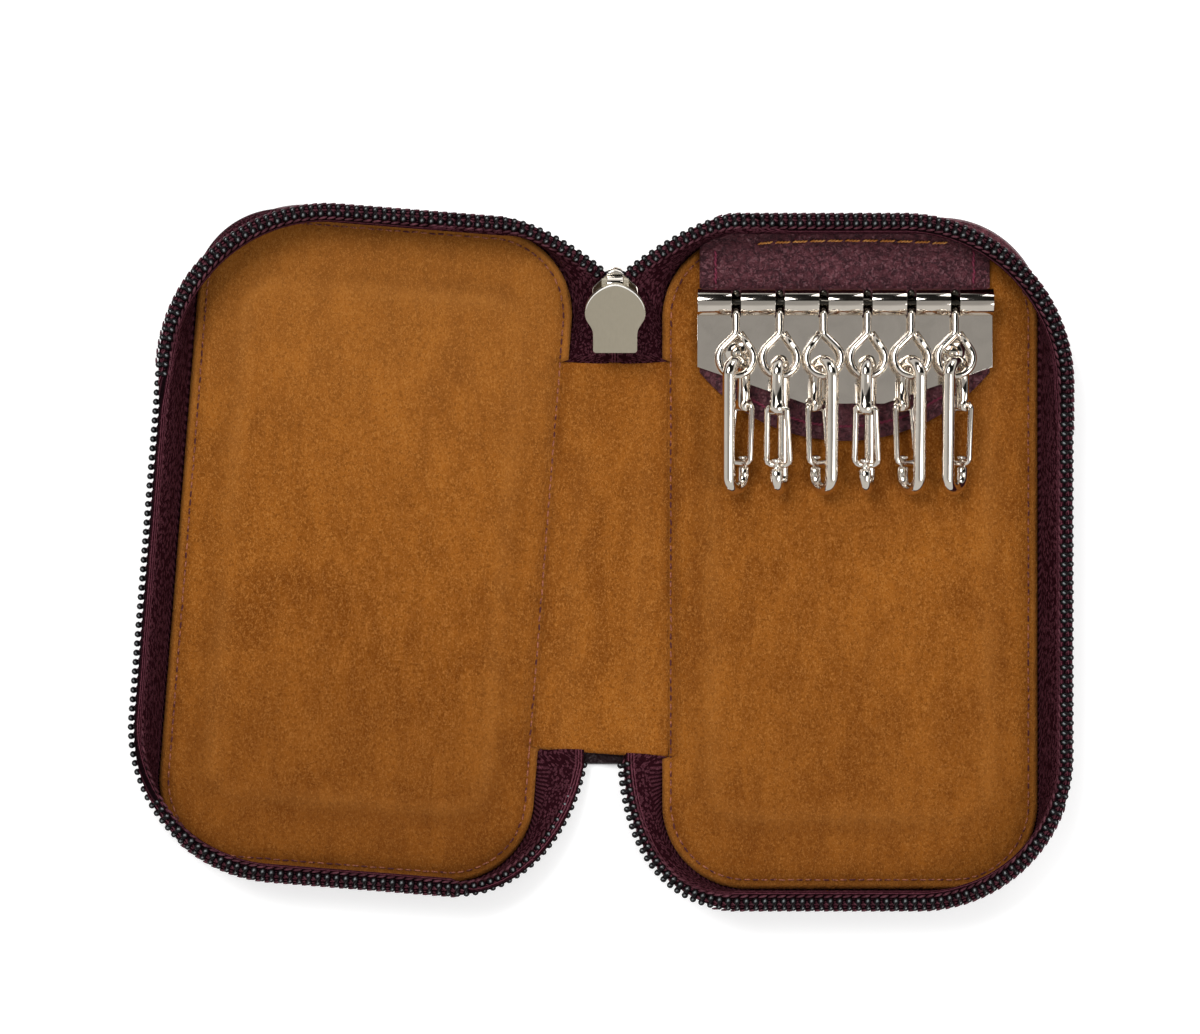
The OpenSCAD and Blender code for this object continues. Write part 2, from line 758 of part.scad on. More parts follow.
// One hanger: it curls round the rod, bends to the front and opens into a loop
module hanger(k) {
    turn = k == 3 ? -1 : 1;
    steps = [
        [0, ring_r, ring_curl, 0],
        [ring_rise, front_r, 90 - hanger_rise, 180],
        [stem_l - bend_cut, stem_r, stem_lean, -90 * turn],
        [diag_l - bend_cut, hanger_r, stem_lean + 180 + open_lean, 180],
        [open_l, 0, 0, 0]
    ];
    color("silver") translate([row_x(k), rod_y, rod_z]) rotate([ring_curl, 0, 0])
        translate([0, -ring_r, 0]) rotate([0, 0, 90]) wire(steps, hanger_d / 2);
}

// A hook's own frame: its long axis runs along -Y from the hanger's bottom wire
module hook_place(k) {
    translate([row_x(k), rod_y - hanger_drop, rod_z + hanger_z])
        rotate([hook_fall, 0, 0]) translate([0, hook_lift, 0])
            rotate([0, hook_turns[k - 1], 0]) children();
}

module hook(k) {
    steps = [
        [gate_drop, hook_r, 180, 90],
        [hook_l, hook_r, 180, 0],
        [tip_straight, 0, 0, 0]
    ];
    color("silver") hook_place(k) difference() {
        union() {
            translate([0, -gate_drop, hook_r]) rotate([-90, 0, 0]) wire(steps, hook_d / 2);
            translate([-boss_w / 2, -gate_drop, hook_r]) rotate([0, 90, 0])
                cylinder(r = boss_r, h = boss_w);
            translate([0, -hook_l, hook_r]) rotate([-90, 0, 0]) rotate_extrude()
                polygon([
                    [0, tip_straight - rest_gap], [hook_d / 2, tip_straight - rest_gap],
                    [hook_d / 2, tip_straight], [neck_r, tip_neck_start],
                    [neck_r, tip_neck_end], [head_r, tip_head_low],
                    [head_r, tip_head_high], [neck_r, tip_end], [0, tip_end]
                ]);
        }
        translate([-boss_w / 2 - cut, -gate_drop, hook_r]) rotate([0, 90, 0])
            cylinder(d = gate_d + 2 * run_fit, h = boss_w + 2 * cut);
    }
}

// One gate: two pins in the hook's boss, two arms and the bar that closes the hook
module gate(k) {
    pin_start = 2 * rest_gap;
    bend_1 = 90 - gate_splay;
    bend_2 = 90 + gate_splay;
    arm_l = gate_run / cos(gate_splay) - gate_r1 * tan(bend_1 / 2) - gate_r2 * tan(bend_2 / 2);
    bar_l = 2 * (bar_x - gate_r2 * tan(bend_2 / 2));
    pin_l = arm_x - pin_start - gate_r1 * tan(bend_1 / 2);
    steps = [
        [pin_l, gate_r1, bend_1, 0],
        [arm_l, gate_r2, bend_2, 0],
        [bar_l, gate_r2, bend_2, 0],
        [arm_l, gate_r1, bend_1, 0],
        [pin_l, 0, 0, 0]
    ];
    color("silver") hook_place(k) translate([0, -gate_drop, hook_r])
        rotate([gate_tilt, 0, 0]) translate([-pin_start, 0, 0])
            rotate([0, -90, 0]) rotate([0, 0, -90]) wire(steps, gate_d / 2);
}

// Nodes

module spine_leather() {
    color("#4a1c2e") linear_extrude(leather_t)
        spine_outline(-spine_leather_l / 2, spine_leather_l / 2);
}

module spine_lining() {
    color("#a8661f") translate([0, 0, leather_t]) linear_extrude(lining_t)
        spine_outline(spine_lining_shift - spine_lining_l / 2,
            spine_lining_shift + spine_lining_l / 2);
}

module left_leather() color("#4a1c2e") left_place() cover_leather();
module right_leather() color("#4a1c2e") cover_leather();
module left_board() color("#8a7a62") left_place() cover_board();
module right_board() color("#8a7a62") cover_board();
module left_lining() color("#a8661f") left_place() cover_lining();
module right_lining() color("#a8661f") cover_lining();
module left_tape() color("#3d1626") left_place() cover_tape();
module right_tape() color("#3d1626") cover_tape();
module left_teeth() color("#151214") left_place() cover_teeth();
module right_teeth() color("#151214") cover_teeth();
module left_top_lead_tape() color("#3d1626") lead_tape(true, true);
module right_top_lead_tape() color("#3d1626") lead_tape(false, true);
module left_top_lead_teeth() color("#151214") lead_teeth(true, true);
module right_top_lead_teeth() color("#151214") lead_teeth(false, true);
module left_bottom_lead_tape() color("#3d1626") lead_tape(true, false);
module right_bottom_lead_tape() color("#3d1626") lead_tape(false, false);
module left_bottom_lead_teeth() color("#151214") lead_teeth(true, false);
module right_bottom_lead_teeth() color("#151214") lead_teeth(false, false);
module left_stub_teeth() color("#151214") stub_teeth(true);
module right_stub_teeth() color("#151214") stub_teeth(false);
module left_rivet() rivet(-1);
module right_rivet() rivet(1);

spine_leather();
spine_lining();
left_leather();
right_leather();
left_board();
right_board();
left_lining();
right_lining();
left_tape();
right_tape();
left_teeth();
right_teeth();
left_top_lead_tape();
right_top_lead_tape();
left_top_lead_teeth();
right_top_lead_teeth();
left_bottom_lead_tape();
right_bottom_lead_tape();
left_bottom_lead_teeth();
right_bottom_lead_teeth();
left_stub_teeth();
right_stub_teeth();
slider_body();
pull_tab();
key_patch();
key_plate();
key_rod();
left_rivet();
right_rivet();
hanger(1);  // hanger_1
hanger(2);  // hanger_2
hanger(3);  // hanger_3
hanger(4);  // hanger_4
hanger(5);  // hanger_5
hanger(6);  // hanger_6
hook(1);  // hook_1
hook(2);  // hook_2
hook(3);  // hook_3
hook(4);  // hook_4
hook(5);  // hook_5
hook(6);  // hook_6
gate(1);  // gate_1
gate(2);  // gate_2
gate(3);  // gate_3
gate(4);  // gate_4
gate(5);  // gate_5
gate(6);  // gate_6
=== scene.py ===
"""Looks of an open zip-around key case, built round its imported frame.

The classes hold their sizes in millimetres, in the frame of the case: +X runs
from the left cover to the right one, +Y along the spine to the slider's end,
and +Z up out of the open case. Meshes are scaled to metres when they are made.
"""

import logging
import math
from dataclasses import dataclass, field
from enum import Enum
from functools import cached_property
from typing import Sequence

import bmesh
import bpy
from mathutils import Matrix, Vector, noise

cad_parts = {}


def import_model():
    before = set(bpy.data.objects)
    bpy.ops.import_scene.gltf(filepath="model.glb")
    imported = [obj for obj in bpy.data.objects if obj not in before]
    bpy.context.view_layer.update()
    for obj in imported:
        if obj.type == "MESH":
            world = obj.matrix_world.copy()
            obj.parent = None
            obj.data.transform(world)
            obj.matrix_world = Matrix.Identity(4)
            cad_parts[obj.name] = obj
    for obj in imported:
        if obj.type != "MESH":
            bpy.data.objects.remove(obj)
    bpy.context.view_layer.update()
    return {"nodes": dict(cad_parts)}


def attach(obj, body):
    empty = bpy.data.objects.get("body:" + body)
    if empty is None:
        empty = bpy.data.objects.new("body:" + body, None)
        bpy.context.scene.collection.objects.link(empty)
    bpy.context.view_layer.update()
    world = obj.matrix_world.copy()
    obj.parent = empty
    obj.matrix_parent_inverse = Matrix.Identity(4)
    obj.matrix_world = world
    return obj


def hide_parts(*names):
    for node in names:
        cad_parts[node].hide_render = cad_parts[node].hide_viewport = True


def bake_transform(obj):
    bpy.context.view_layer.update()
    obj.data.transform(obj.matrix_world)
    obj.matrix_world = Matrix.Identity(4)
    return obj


MM = 0.001
LOG = logging.getLogger("key_case")
BMesh = bmesh.types.BMesh
Piece = bpy.types.Object
Nodes = dict[str, Piece]
Pair = tuple[float, float]
Triple = tuple[float, float, float]
Colour = Triple


class Side(Enum):
    """The two covers, with the sign of their side of the spine."""

    LEFT = -1
    RIGHT = 1

    @property
    def label(self) -> str:
        """The side's name in node and body names."""
        return self.name.lower()


# Shapes


def lerp(a: float, b: float, t: float) -> float:
    """Value between a and b at share t."""
    return a + (b - a) * t


def smooth(a: float, b: float, x: float) -> float:
    """Smooth step from 0 at a to 1 at b."""
    t = max(0.0, min(1.0, (x - a) / (b - a)))
    return t * t * (3 - 2 * t)


def bump(x: float, width: float) -> float:
    """Round bump of height 1 at x 0 that fades over the width."""
    return math.exp(-((x / width) ** 2))


@dataclass(frozen=True)
class Ridge:
    """A rounded ridge along an edge: its height, its place past the edge and its width."""

    height: float
    past: float
    width: float

    def at(self, depth: float) -> float:
        """What it adds at a depth inside the edge."""
        return self.height * bump(depth + self.past, self.width)


def bezier(points: Sequence[Vector], t: float) -> Vector:
    """Point of a cubic curve.

    Args:
        points: the four control points.
        t: share along the curve.

    Returns:
        The point at that share.
    """
    s = 1 - t
    a, b, c, d = points
    return a * s**3 + b * (3 * s * s * t) + c * (3 * s * t * t) + d * t**3


def as_mesh(name: str, bm: BMesh) -> bpy.types.Mesh:
    """Turns a bmesh into a mesh in the same unit, and frees it."""
    mesh = bpy.data.meshes.new(name)
    bm.to_mesh(mesh)
    bm.free()
    return mesh


def make_piece(
    name: str, bm: BMesh, material: bpy.types.Material
) -> Piece:
    """Turns a bmesh in millimetres into a smooth piece of the scene in metres.

    Args:
        name: the piece's name.
        bm: its mesh, which is freed.
        material: its finish.

    Returns:
        The new object.
    """
    bmesh.ops.scale(bm, vec=(MM, MM, MM), verts=bm.verts)
    mesh = as_mesh(name, bm)
    mesh.materials.append(material)
    for face in mesh.polygons:
        face.use_smooth = True
    piece = bpy.data.objects.new(name, mesh)
    bpy.context.scene.collection.objects.link(piece)
    return piece


def thicken(piece: Piece, thickness: float) -> None:
    """Gives a sheet its thickness behind its faces."""
    modifier = piece.modifiers.new("Solidify", "SOLIDIFY")
    modifier.thickness = thickness * MM
    modifier.offset = -1
    modifier.use_rim = True


def loft(
    bm: BMesh,
    rings: Sequence[Sequence[Vector]],
    marks: Sequence[Sequence[Triple]] | None = None,
) -> None:
    """Extrudes a closed outline from ring to ring and closes both ends.

    Args:
        bm: the mesh that takes the new faces.
        rings: outlines of equal length, in order.
        marks: for each point its distances along, across and past an edge.
    """
    layer = bm.verts.layers.float_vector.get("run")
    if marks is not None and layer is None:
        layer = bm.verts.layers.float_vector.new("run")
    current = [bm.verts.new(p) for p in rings[0]]
    count = len(current)
    edges = [bm.edges.new((current[i], current[(i + 1) % count])) for i in range(count)]
    first = list(current)

    def mark(verts: Sequence[bmesh.types.BMVert], index: int) -> None:
        """Writes the pattern's distances on one ring."""
        if marks is not None:
            for vert, distances in zip(verts, marks[index]):
                vert[layer] = Vector(distances)

    mark(current, 0)
    for index, ring in enumerate(rings[1:], start=1):
        made = bmesh.ops.extrude_edge_only(bm, edges=edges)["geom"]
        fresh = {g for g in made if isinstance(g, bmesh.types.BMVert)}
        following = []
        for vert in current:
            for edge in vert.link_edges:
                other = edge.other_vert(vert)
                if other in fresh:
                    following.append(other)
                    break
        sides = [g for g in made if isinstance(g, bmesh.types.BMEdge)]
        edges = [g for g in sides if fresh.issuperset(g.verts)]
        for vert, place in zip(following, ring):
            vert.co = place
        current = following
        mark(current, index)
    bm.faces.new(first)
    bm.faces.new(current)
    bmesh.ops.recalc_face_normals(bm, faces=bm.faces)


def tube(
    bm: BMesh, points: Sequence[Vector], radii: Sequence[float], sides: int
) -> None:
    """Lofts a round tube along points.

    Args:
        bm: the mesh that takes the tube.
        points: its centre line.
        radii: its radius at each point.
        sides: how many sides it has.
    """
    nearly_upright = 0.2
    rings = []
    up = Vector((0, 0, 1))
    for i, point in enumerate(points):
        ahead = points[min(i + 1, len(points) - 1)] - points[max(i - 1, 0)]
        ahead.normalize()
        across = ahead.cross(up)
        if across.length < nearly_upright:
            across = ahead.cross(Vector((0, 1, 0)))
        across.normalize()
        rise = across.cross(ahead)
        ring = []
        for k in range(sides):
            a = 2 * math.pi * k / sides
            ring.append(point + (across * math.cos(a) + rise * math.sin(a)) * radii[i])
        rings.append(ring)
    loft(bm, rings)


def stamp(bm: BMesh, pattern: bpy.types.Mesh, place: Matrix) -> None:
    """Adds a copy of a small mesh at a place.

    Args:
        bm: the mesh that takes the copy.
        pattern: the small mesh.
        place: where it goes.
    """
    start = len(bm.verts)
    bm.from_mesh(pattern)
    bm.verts.ensure_lookup_table()
    bmesh.ops.transform(bm, matrix=place, verts=bm.verts[start:])


def frame_matrix(origin: Vector, x: Vector, y: Vector, z: Vector) -> Matrix:
    """Matrix that puts a small mesh's own axes along x, y and z at an origin."""
    return Matrix(
        (
            (x.x, y.x, z.x, origin.x),
            (x.y, y.y, z.y, origin.y),
            (x.z, y.z, z.z, origin.z),
            (0, 0, 0, 1),
        )
    )


@dataclass(frozen=True)
class Panel:
    """A rounded rectangle between two places across, the same length both ways along."""

    x0: float
    x1: float
    half: float
    radius: float

    def grid(self, bm: BMesh, step: float) -> None:
        """Makes a flat grid whose outline is the panel's.

        Args:
            bm: the mesh that takes the grid.
            step: spacing of the grid.
        """
        half, radius = self.half, self.radius
        nx, ny = round((self.x1 - self.x0) / step), round(2 * half / step)
        bmesh.ops.create_grid(bm, x_segments=nx, y_segments=ny, size=1)
        cx, hx = (self.x0 + self.x1) / 2, (self.x1 - self.x0) / 2
        for vert in bm.verts:
            x, y = vert.co.x * hx, vert.co.y * half
            ex, ey = abs(x) - (hx - radius), abs(y) - (half - radius)
            if ex > 0 and ey > 0:
                a, b = ex / radius, ey / radius
                reach = max(a, b)
                turn = math.pi / 4 * (b / a) if a > b else math.pi / 2 - math.pi / 4 * (a / b)
                x = math.copysign(hx - radius + radius * reach * math.cos(turn), x)
                y = math.copysign(half - radius + radius * reach * math.sin(turn), y)
            vert.co = Vector((cx + x, y, 0))

    def depth(self, x: float, y: float) -> float:
        """Distance of a point inside the panel's edge, below 0 outside."""
        qx = abs(x - (self.x0 + self.x1) / 2) - ((self.x1 - self.x0) / 2 - self.radius)
        qy = abs(y) - (self.half - self.radius)
        return -(math.hypot(max(qx, 0), max(qy, 0)) + min(max(qx, qy), 0) - self.radius)


# Sizes of the case


@dataclass(frozen=True)
class RimPath:
    """A rounded path round a cover, drawn on the right one."""

    fold: float
    outer: float
    half: float
    fold_radius: float
    outer_radius: float
    low_radius: float = 0.0

    def point(self, u: float, v: float, a: float, out: float = 0) -> Vector:
        """Point of the path.

        Args:
            u: share from the fold side to the outer side.
            v: share from bottom, -1, to top, 1.
            a: direction in which the path faces, in degrees.
            out: distance outwards from the path.

        Returns:
            The flat point.
        """
        outer = lerp(self.low_radius or self.outer_radius, self.outer_radius, (v + 1) / 2)
        r = lerp(self.fold_radius, outer, u)
        x = lerp(self.fold + self.fold_radius, self.outer - outer, u)
        t = math.radians(a)
        return Vector(
            (x + (r + out) * math.cos(t), v * (self.half - r) + (r + out) * math.sin(t), 0)
        )


@dataclass(frozen=True)
class CaseSizes:
    """Sizes and places that several pieces of the case share."""

    fold_x: float = 9.3
    fold_z: float = 2.0
    lean: float = 4.5
    lining_x0: float = 8.4
    lining_x1: float = 65.9
    lining_half: float = 50.15
    lining_r: float = 13.0
    lining_top: float = 3.2
    leather_rim: float = 1.0
    spine_leather_half: float = 31.2
    spine_lining_half: float = 30.1
    spine_shift: float = 0.9
    spine_gap: float = 0.02
    zone_low_left: float = -28.7
    zone_low_right: float = -30.2
    zone_high: float = 31.05
    board_w: float = 41.0
    board_l: float = 77.0
    board_r: float = 4.0
    tape_out: float = 0.5
    tape_z: float = 2.3
    chain_z: float = 10.15
    chain_t: float = 1.1
    tip_reach_left: float = 1.6
    tip_reach_right: float = 2.8
    tip_past_fold: float = 6.7
    tip_past_side: float = 4.9
    tip_fold_r: float = 18.0
    tip_top_r: float = 26.0
    tip_low_r: float = 23.5
    tooth_pitch: float = 1.42
    slider_x: float = 1.15
    stub_y: float = 31.6
    stub_z: float = 3.0
    stub_rise: float = 16.0
    lead_nose: float = 13.05
    plate_mid: float = 36.3
    patch_top: float = 4.2

    @property
    def lining(self) -> Panel:
        """Outline of a cover's suede."""
        return Panel(self.lining_x0, self.lining_x1, self.lining_half, self.lining_r)

    @property
    def board(self) -> Panel:
        """Outline of the board under a cover's suede."""
        cx = (self.lining_x0 + self.lining_x1) / 2
        return Panel(
            cx - self.board_w / 2, cx + self.board_w / 2, self.board_l / 2, self.board_r
        )

    @property
    def lining_path(self) -> RimPath:
        """Edge of a cover's lining."""
        return self.edge_path(0.0, 0.0)

    @property
    def tip_z(self) -> float:
        """Level of the tooth tips."""
        return self.chain_z + self.chain_t / 2

    def edge_path(self, inset: float, ease: float) -> RimPath:
        """Path inside a cover's edge, a little nearer to it at the fold."""
        radius = self.lining_r - inset
        return RimPath(
            self.lining_x0 + inset - ease,
            self.lining_x1 - inset,
            self.lining_half - inset,
            radius,
            radius,
        )

    def tip_path(self, side: Side) -> RimPath:
        """Line of the tooth tips; the left one lies a little further in."""
        reach = self.tip_reach_left if side is Side.LEFT else self.tip_reach_right
        return RimPath(
            self.lining_x0 - self.tip_past_fold,
            self.lining_x1 + self.tip_past_side,
            self.lining_half + reach,
            self.tip_fold_r,
            self.tip_top_r,
            self.tip_low_r,
        )

    def on_cover(self, p: Vector, side: Side) -> Vector:
        """Place on the open case of a point drawn on the right cover.

        Args:
            p: the point as it lies on the right cover.
            side: the cover that it is wanted on.

        Returns:
            The point on that cover.
        """
        if side is Side.RIGHT:
            return p.copy()
        dx, dy = self.fold_x - p.x, p.y
        c, s = math.cos(math.radians(self.lean)), math.sin(math.radians(self.lean))
        return Vector((dx * c + dy * s - self.fold_x, dy * c - dx * s, p.z))

    def turned(self, d: Vector, side: Side) -> Vector:
        """Direction on the open case of one drawn on the right cover."""
        return self.on_cover(d, side) - self.on_cover(Vector((0, 0, 0)), side)

    def cover_matrix(self, side: Side) -> Matrix:
        """Matrix that moves what is drawn on the right cover to a side."""
        if side is Side.RIGHT:
            return Matrix.Identity(4)
        return (
            Matrix.Translation((-self.fold_x, 0, 0))
            @ Matrix.Rotation(math.radians(-self.lean), 4, "Z")
            @ Matrix.Translation((self.fold_x, 0, 0))
            @ Matrix.Scale(-1, 4, (1, 0, 0))
        )

    def zone_low(self, side: Side) -> float:
        """Lower end of the spine's suede beside a cover."""
        return self.zone_low_left if side is Side.LEFT else self.zone_low_right

    def fold_line(self, side: Side, y: float) -> float:
        """Place across the case of a fold at a given place along it."""
        if side is Side.RIGHT:
            return self.fold_x
        return -self.fold_x + y * math.tan(math.radians(self.lean))

    def spine_x(self, u: float, y: float) -> float:
        """Place across the spine, from its left edge at -1 to its right edge at 1."""
        left = self.fold_line(Side.LEFT, y) + self.spine_gap
        right = self.fold_line(Side.RIGHT, y) - self.spine_gap
        return lerp(left, right, (u + 1) / 2)

    def fold_span(self, side: Side, reach: float) -> tuple[Vector, Vector]:
        """Where a fold's bend starts on the spine and ends on its cover.

        Args:
            side: the fold's side.
            reach: how far the bend goes to each side of the fold.

        Returns:
            The two places in millimetres.
        """
        turn = math.radians(self.lean) if side is Side.LEFT else 0.0
        across = Vector((math.cos(turn), -math.sin(turn), 0)) * side.value
        middle = Vector((side.value * self.fold_x, 0, self.fold_z))
        return middle - across * reach, middle + across * reach

    def stub_point(self, x: float, y: float, z: float) -> Vector:
        """Point in the joined zip end's own frame, placed on the case."""
        c, s = math.cos(math.radians(self.stub_rise)), math.sin(math.radians(self.stub_rise))
        return Vector(
            (self.slider_x + x, self.stub_y + y * c - z * s, self.stub_z + y * s + z * c)
        )


SIZES = CaseSizes()


# Finishes


class Tree:
    """Shorthand for laying out one node tree."""

    def __init__(self, tree: bpy.types.NodeTree) -> None:
        """Keeps the tree."""
        self.tree = tree

    def node(self, kind: str, **settings: object) -> bpy.types.Node:
        """Adds a node.

        Args:
            kind: the node's type.
            settings: its settings, and its sockets' values under in_ names.

        Returns:
            The new node.
        """
        made = self.tree.nodes.new(kind)
        for key, value in settings.items():
            if key.startswith("in_"):
                name = key[3:].replace("_", " ")
                socket = made.inputs[int(name)] if name.isdigit() else made.inputs[name]
                socket.default_value = value
            else:
                setattr(made, key, value)
        return made

    def link(self, source: object, target: object) -> None:
        """Joins an output to an input."""
        self.tree.links.new(source, target)

    def math(self, operation: str, *values: object) -> bpy.types.NodeSocket:
        """Adds a math node.

        Args:
            operation: what it does.
            values: sockets or numbers that it works on.

        Returns:
            Its output.
        """
        made = self.tree.nodes.new("ShaderNodeMath")
        made.operation = operation
        for i, value in enumerate(values):
            if isinstance(value, (int, float)):
                made.inputs[i].default_value = value
            else:
                self.link(value, made.inputs[i])
        return made.outputs[0]

    def share(self, value: object, part: object) -> bpy.types.NodeSocket:
        """A part of a value."""
        return self.math("MULTIPLY", value, part)

    def total(self, *parts: tuple[object, object]) -> bpy.types.NodeSocket:
        """Adds up values, each taken by its share.

        Args:
            parts: pairs of a socket and its share.

        Returns:
            The sum.
        """
        *rest, last = parts
        made = self.share(*last)
        for part in reversed(rest):
            made = self.math("ADD", self.share(*part), made)
        return made

    def mix(self, factor: object, a: object, b: object) -> bpy.types.NodeSocket:
        """Adds a mix of two colours.

        Args:
            factor: share of the second colour, a socket or a number.
            a: the first colour, or its socket.
            b: the second colour, or its socket.

        Returns:
            Its output.
        """
        made = self.tree.nodes.new("ShaderNodeMix")
        made.data_type = "RGBA"
        for index, value in ((0, factor), (6, a), (7, b)):
            if isinstance(value, (int, float)):
                made.inputs[index].default_value = value
            elif isinstance(value, tuple):
                made.inputs[index].default_value = (*value, 1)
            else:
                self.link(value, made.inputs[index])
        return made.outputs[2]

    def ramp(self, source: object, low: float, high: float) -> bpy.types.NodeSocket:
        """Stretches a value between low and high softly to the range from 0 to 1.

        Args:
            source: the value's socket.
            low: the value that becomes 0.
            high: the value that becomes 1.

        Returns:
            The stretched value.
        """
        made = self.node(
            "ShaderNodeMapRange", interpolation_type="SMOOTHSTEP", in_1=low, in_2=high
        )
        self.link(source, made.inputs[0])
        return made.outputs[0]

    def noise(
        self, vector: object, scale: float, detail: float = 3, warp: float = 0
    ) -> bpy.types.NodeSocket:
        """Adds a noise texture.

        Args:
            vector: socket of the place that it is read at.
            scale: how fine it is.
            detail: how many finer layers it has.
            warp: how much it is distorted.

        Returns:
            Its value.
        """
        made = self.node(
            "ShaderNodeTexNoise", in_Scale=scale, in_Detail=detail, in_Distortion=warp
        )
        self.link(vector, made.inputs["Vector"])
        return made.outputs[0]

    def stretch(self, vector: object, scale: Triple) -> object:
        """Scales a vector by its three shares."""
        made = self.node("ShaderNodeMapping", in_Scale=scale)
        self.link(vector, made.inputs["Vector"])
        return made.outputs[0]

    def painted(self, name: str) -> bpy.types.NodeSocket:
        """Value that a piece carries under a name at each of its points."""
        return self.node("ShaderNodeAttribute", attribute_name=name).outputs["Fac"]


class EffectGroups:
    """Shader groups that several finishes share, each built once."""

    @staticmethod
    def _group(
        name: str, inputs: Sequence[tuple[str, str, float]], outputs: Sequence[str]
    ) -> tuple[bpy.types.NodeTree, Tree, bpy.types.Node, bpy.types.Node]:
        """Starts a group with named sockets.

        Args:
            name: the group's name.
            inputs: each input's name, kind and start value.
            outputs: the outputs' names.

        Returns:
            The group, its layout, and its input and output nodes.
        """
        group = bpy.data.node_groups.new(name, "ShaderNodeTree")
        for label, kind, value in inputs:
            socket = group.interface.new_socket(label, in_out="INPUT", socket_type=kind)
            if kind == "NodeSocketFloat":
                socket.default_value = value
        for label in outputs:
            group.interface.new_socket(label, in_out="OUTPUT", socket_type="NodeSocketFloat")
        tree = Tree(group)
        return group, tree, tree.node("NodeGroupInput"), tree.node("NodeGroupOutput")

    @cached_property
    def nap(self) -> bpy.types.NodeTree:
        """Suede nap: broad mottling, streaks, fibres and their height."""
        group, t, given, out = self._group(
            "suede nap", [("Vector", "NodeSocketVector", 0)], ["Mottle", "Fibre", "Height"]
        )
        v = given.outputs["Vector"]
        broad = t.noise(v, 34, 4, 0.9)
        patches = t.noise(t.stretch(v, (1, 0.55, 1)), 95, 5, 1.6)
        streaks = t.noise(t.stretch(v, (1.0, 0.35, 1)), 420, 4, 0.8)
        mottle = t.total(
            (t.ramp(broad, 0.30, 0.72), 0.36),
            (t.ramp(patches, 0.32, 0.68), 0.32),
            (t.ramp(streaks, 0.34, 0.66), 0.32),
        )
        fibre = t.noise(t.stretch(v, (1, 0.6, 1)), 4200, 3, 1.2)
        coarse = t.noise(v, 2000, 3, 0.6)
        t.link(mottle, out.inputs["Mottle"])
        t.link(fibre, out.inputs["Fibre"])
        t.link(t.total((fibre, 0.6), (coarse, 0.55)), out.inputs["Height"])
        return group

    @cached_property
    def pebble(self) -> bpy.types.NodeTree:
        """Leather grain: rounded pebbles of a given scale with creases between."""
        group, t, given, out = self._group(
            "pebble grain",
            [("Vector", "NodeSocketVector", 0), ("Scale", "NodeSocketFloat", 900)],
            ["Pebble", "Crease", "Tone"],
        )
        v = given.outputs["Vector"]
        wander = t.node("ShaderNodeTexNoise", in_Scale=700, in_Detail=3)
        t.link(v, wander.inputs["Vector"])
        shift = t.node("ShaderNodeVectorMath", operation="MULTIPLY_ADD")
        shift.inputs[1].default_value = (0.0011, 0.0011, 0.0011)
        t.link(wander.outputs["Color"], shift.inputs[0])
        t.link(v, shift.inputs[2])
        cells = t.node("ShaderNodeTexVoronoi", feature="SMOOTH_F1", in_Smoothness=0.6)
        t.link(shift.outputs[0], cells.inputs["Vector"])
        t.link(given.outputs["Scale"], cells.inputs["Scale"])
        folds = t.noise(v, 1500, 4, 1.4)
        wrinkle = t.math("ABSOLUTE", t.math("SUBTRACT", folds, 0.5))
        dome = t.math("SUBTRACT", 1.0, t.ramp(cells.outputs["Distance"], 0.1, 0.75))
        grain = t.total(
            (dome, 0.5), (t.ramp(wrinkle, 0.0, 0.09), 0.35), (t.noise(v, 5200, 3), 0.25)
        )
        t.link(grain, out.inputs["Pebble"])
        t.link(t.ramp(grain, 0.12, 0.72), out.inputs["Crease"])
        t.link(t.noise(v, 160, 4, 0.6), out.inputs["Tone"])
        return group

    @cached_property
    def weave(self) -> bpy.types.NodeTree:
        """Woven tape: ribs by the suede, loops in the middle and cords by the teeth.

        Its Run input holds the distances along the tape, across it and past
        its upper edge, in millimetres.
        """
        group, t, given, out = self._group(
            "tape weave",
            [
                ("Run", "NodeSocketVector", 0),
                ("Rib", "NodeSocketFloat", 0.95),
                ("Loop", "NodeSocketFloat", 1.55),
            ],
            ["Thread", "Loops", "Shadow"],
        )
        parts = t.node("ShaderNodeSeparateXYZ")
        t.link(given.outputs["Run"], parts.inputs[0])
        along, across, beyond = parts.outputs[0], parts.outputs[1], parts.outputs[2]
        flat = t.node("ShaderNodeCombineXYZ")
        t.link(along, flat.inputs[0])
        t.link(t.share(across, 1.6), flat.inputs[1])
        cells = t.node("ShaderNodeTexVoronoi", in_Randomness=0.9)
        t.link(flat.outputs[0], cells.inputs["Vector"])
        t.link(given.outputs["Loop"], cells.inputs["Scale"])
        loops = t.ramp(cells.outputs["Distance"], 0.72, 0.22)
        ragged = t.ramp(t.noise(flat.outputs[0], 4.2, 3, 1.2), 0.36, 0.64)
        pebbly = t.share(loops, t.math("ADD", 0.35, t.share(ragged, 0.75)))
        slant = t.math("ADD", along, t.share(across, 0.25))
        ridge = self.wave(t, t.math("DIVIDE", slant, given.outputs["Rib"]))
        ribbed = t.share(ridge, t.math("ADD", 0.25, t.share(ragged, 0.6)))
        zone = t.ramp(across, 1.3, 2.0)
        body = t.total((pebbly, zone), (ribbed, t.math("SUBTRACT", 1.0, zone)))
        cords = self.wave(t, t.math("DIVIDE", beyond, 0.42))
        border = t.share(t.ramp(beyond, -1.35, -1.2), t.ramp(across, 3.0, 3.6))
        thread = t.total(
            (body, t.math("SUBTRACT", 1.0, t.share(border, 0.7))),
            (cords, t.share(border, 0.45)),
        )
        dip = t.share(t.ramp(beyond, -0.08, 0.05), t.ramp(beyond, 0.9, 0.3))
        t.link(thread, out.inputs["Thread"])
        t.link(t.ramp(thread, 0.14, 0.52), out.inputs["Loops"])
        t.link(dip, out.inputs["Shadow"])
        return group

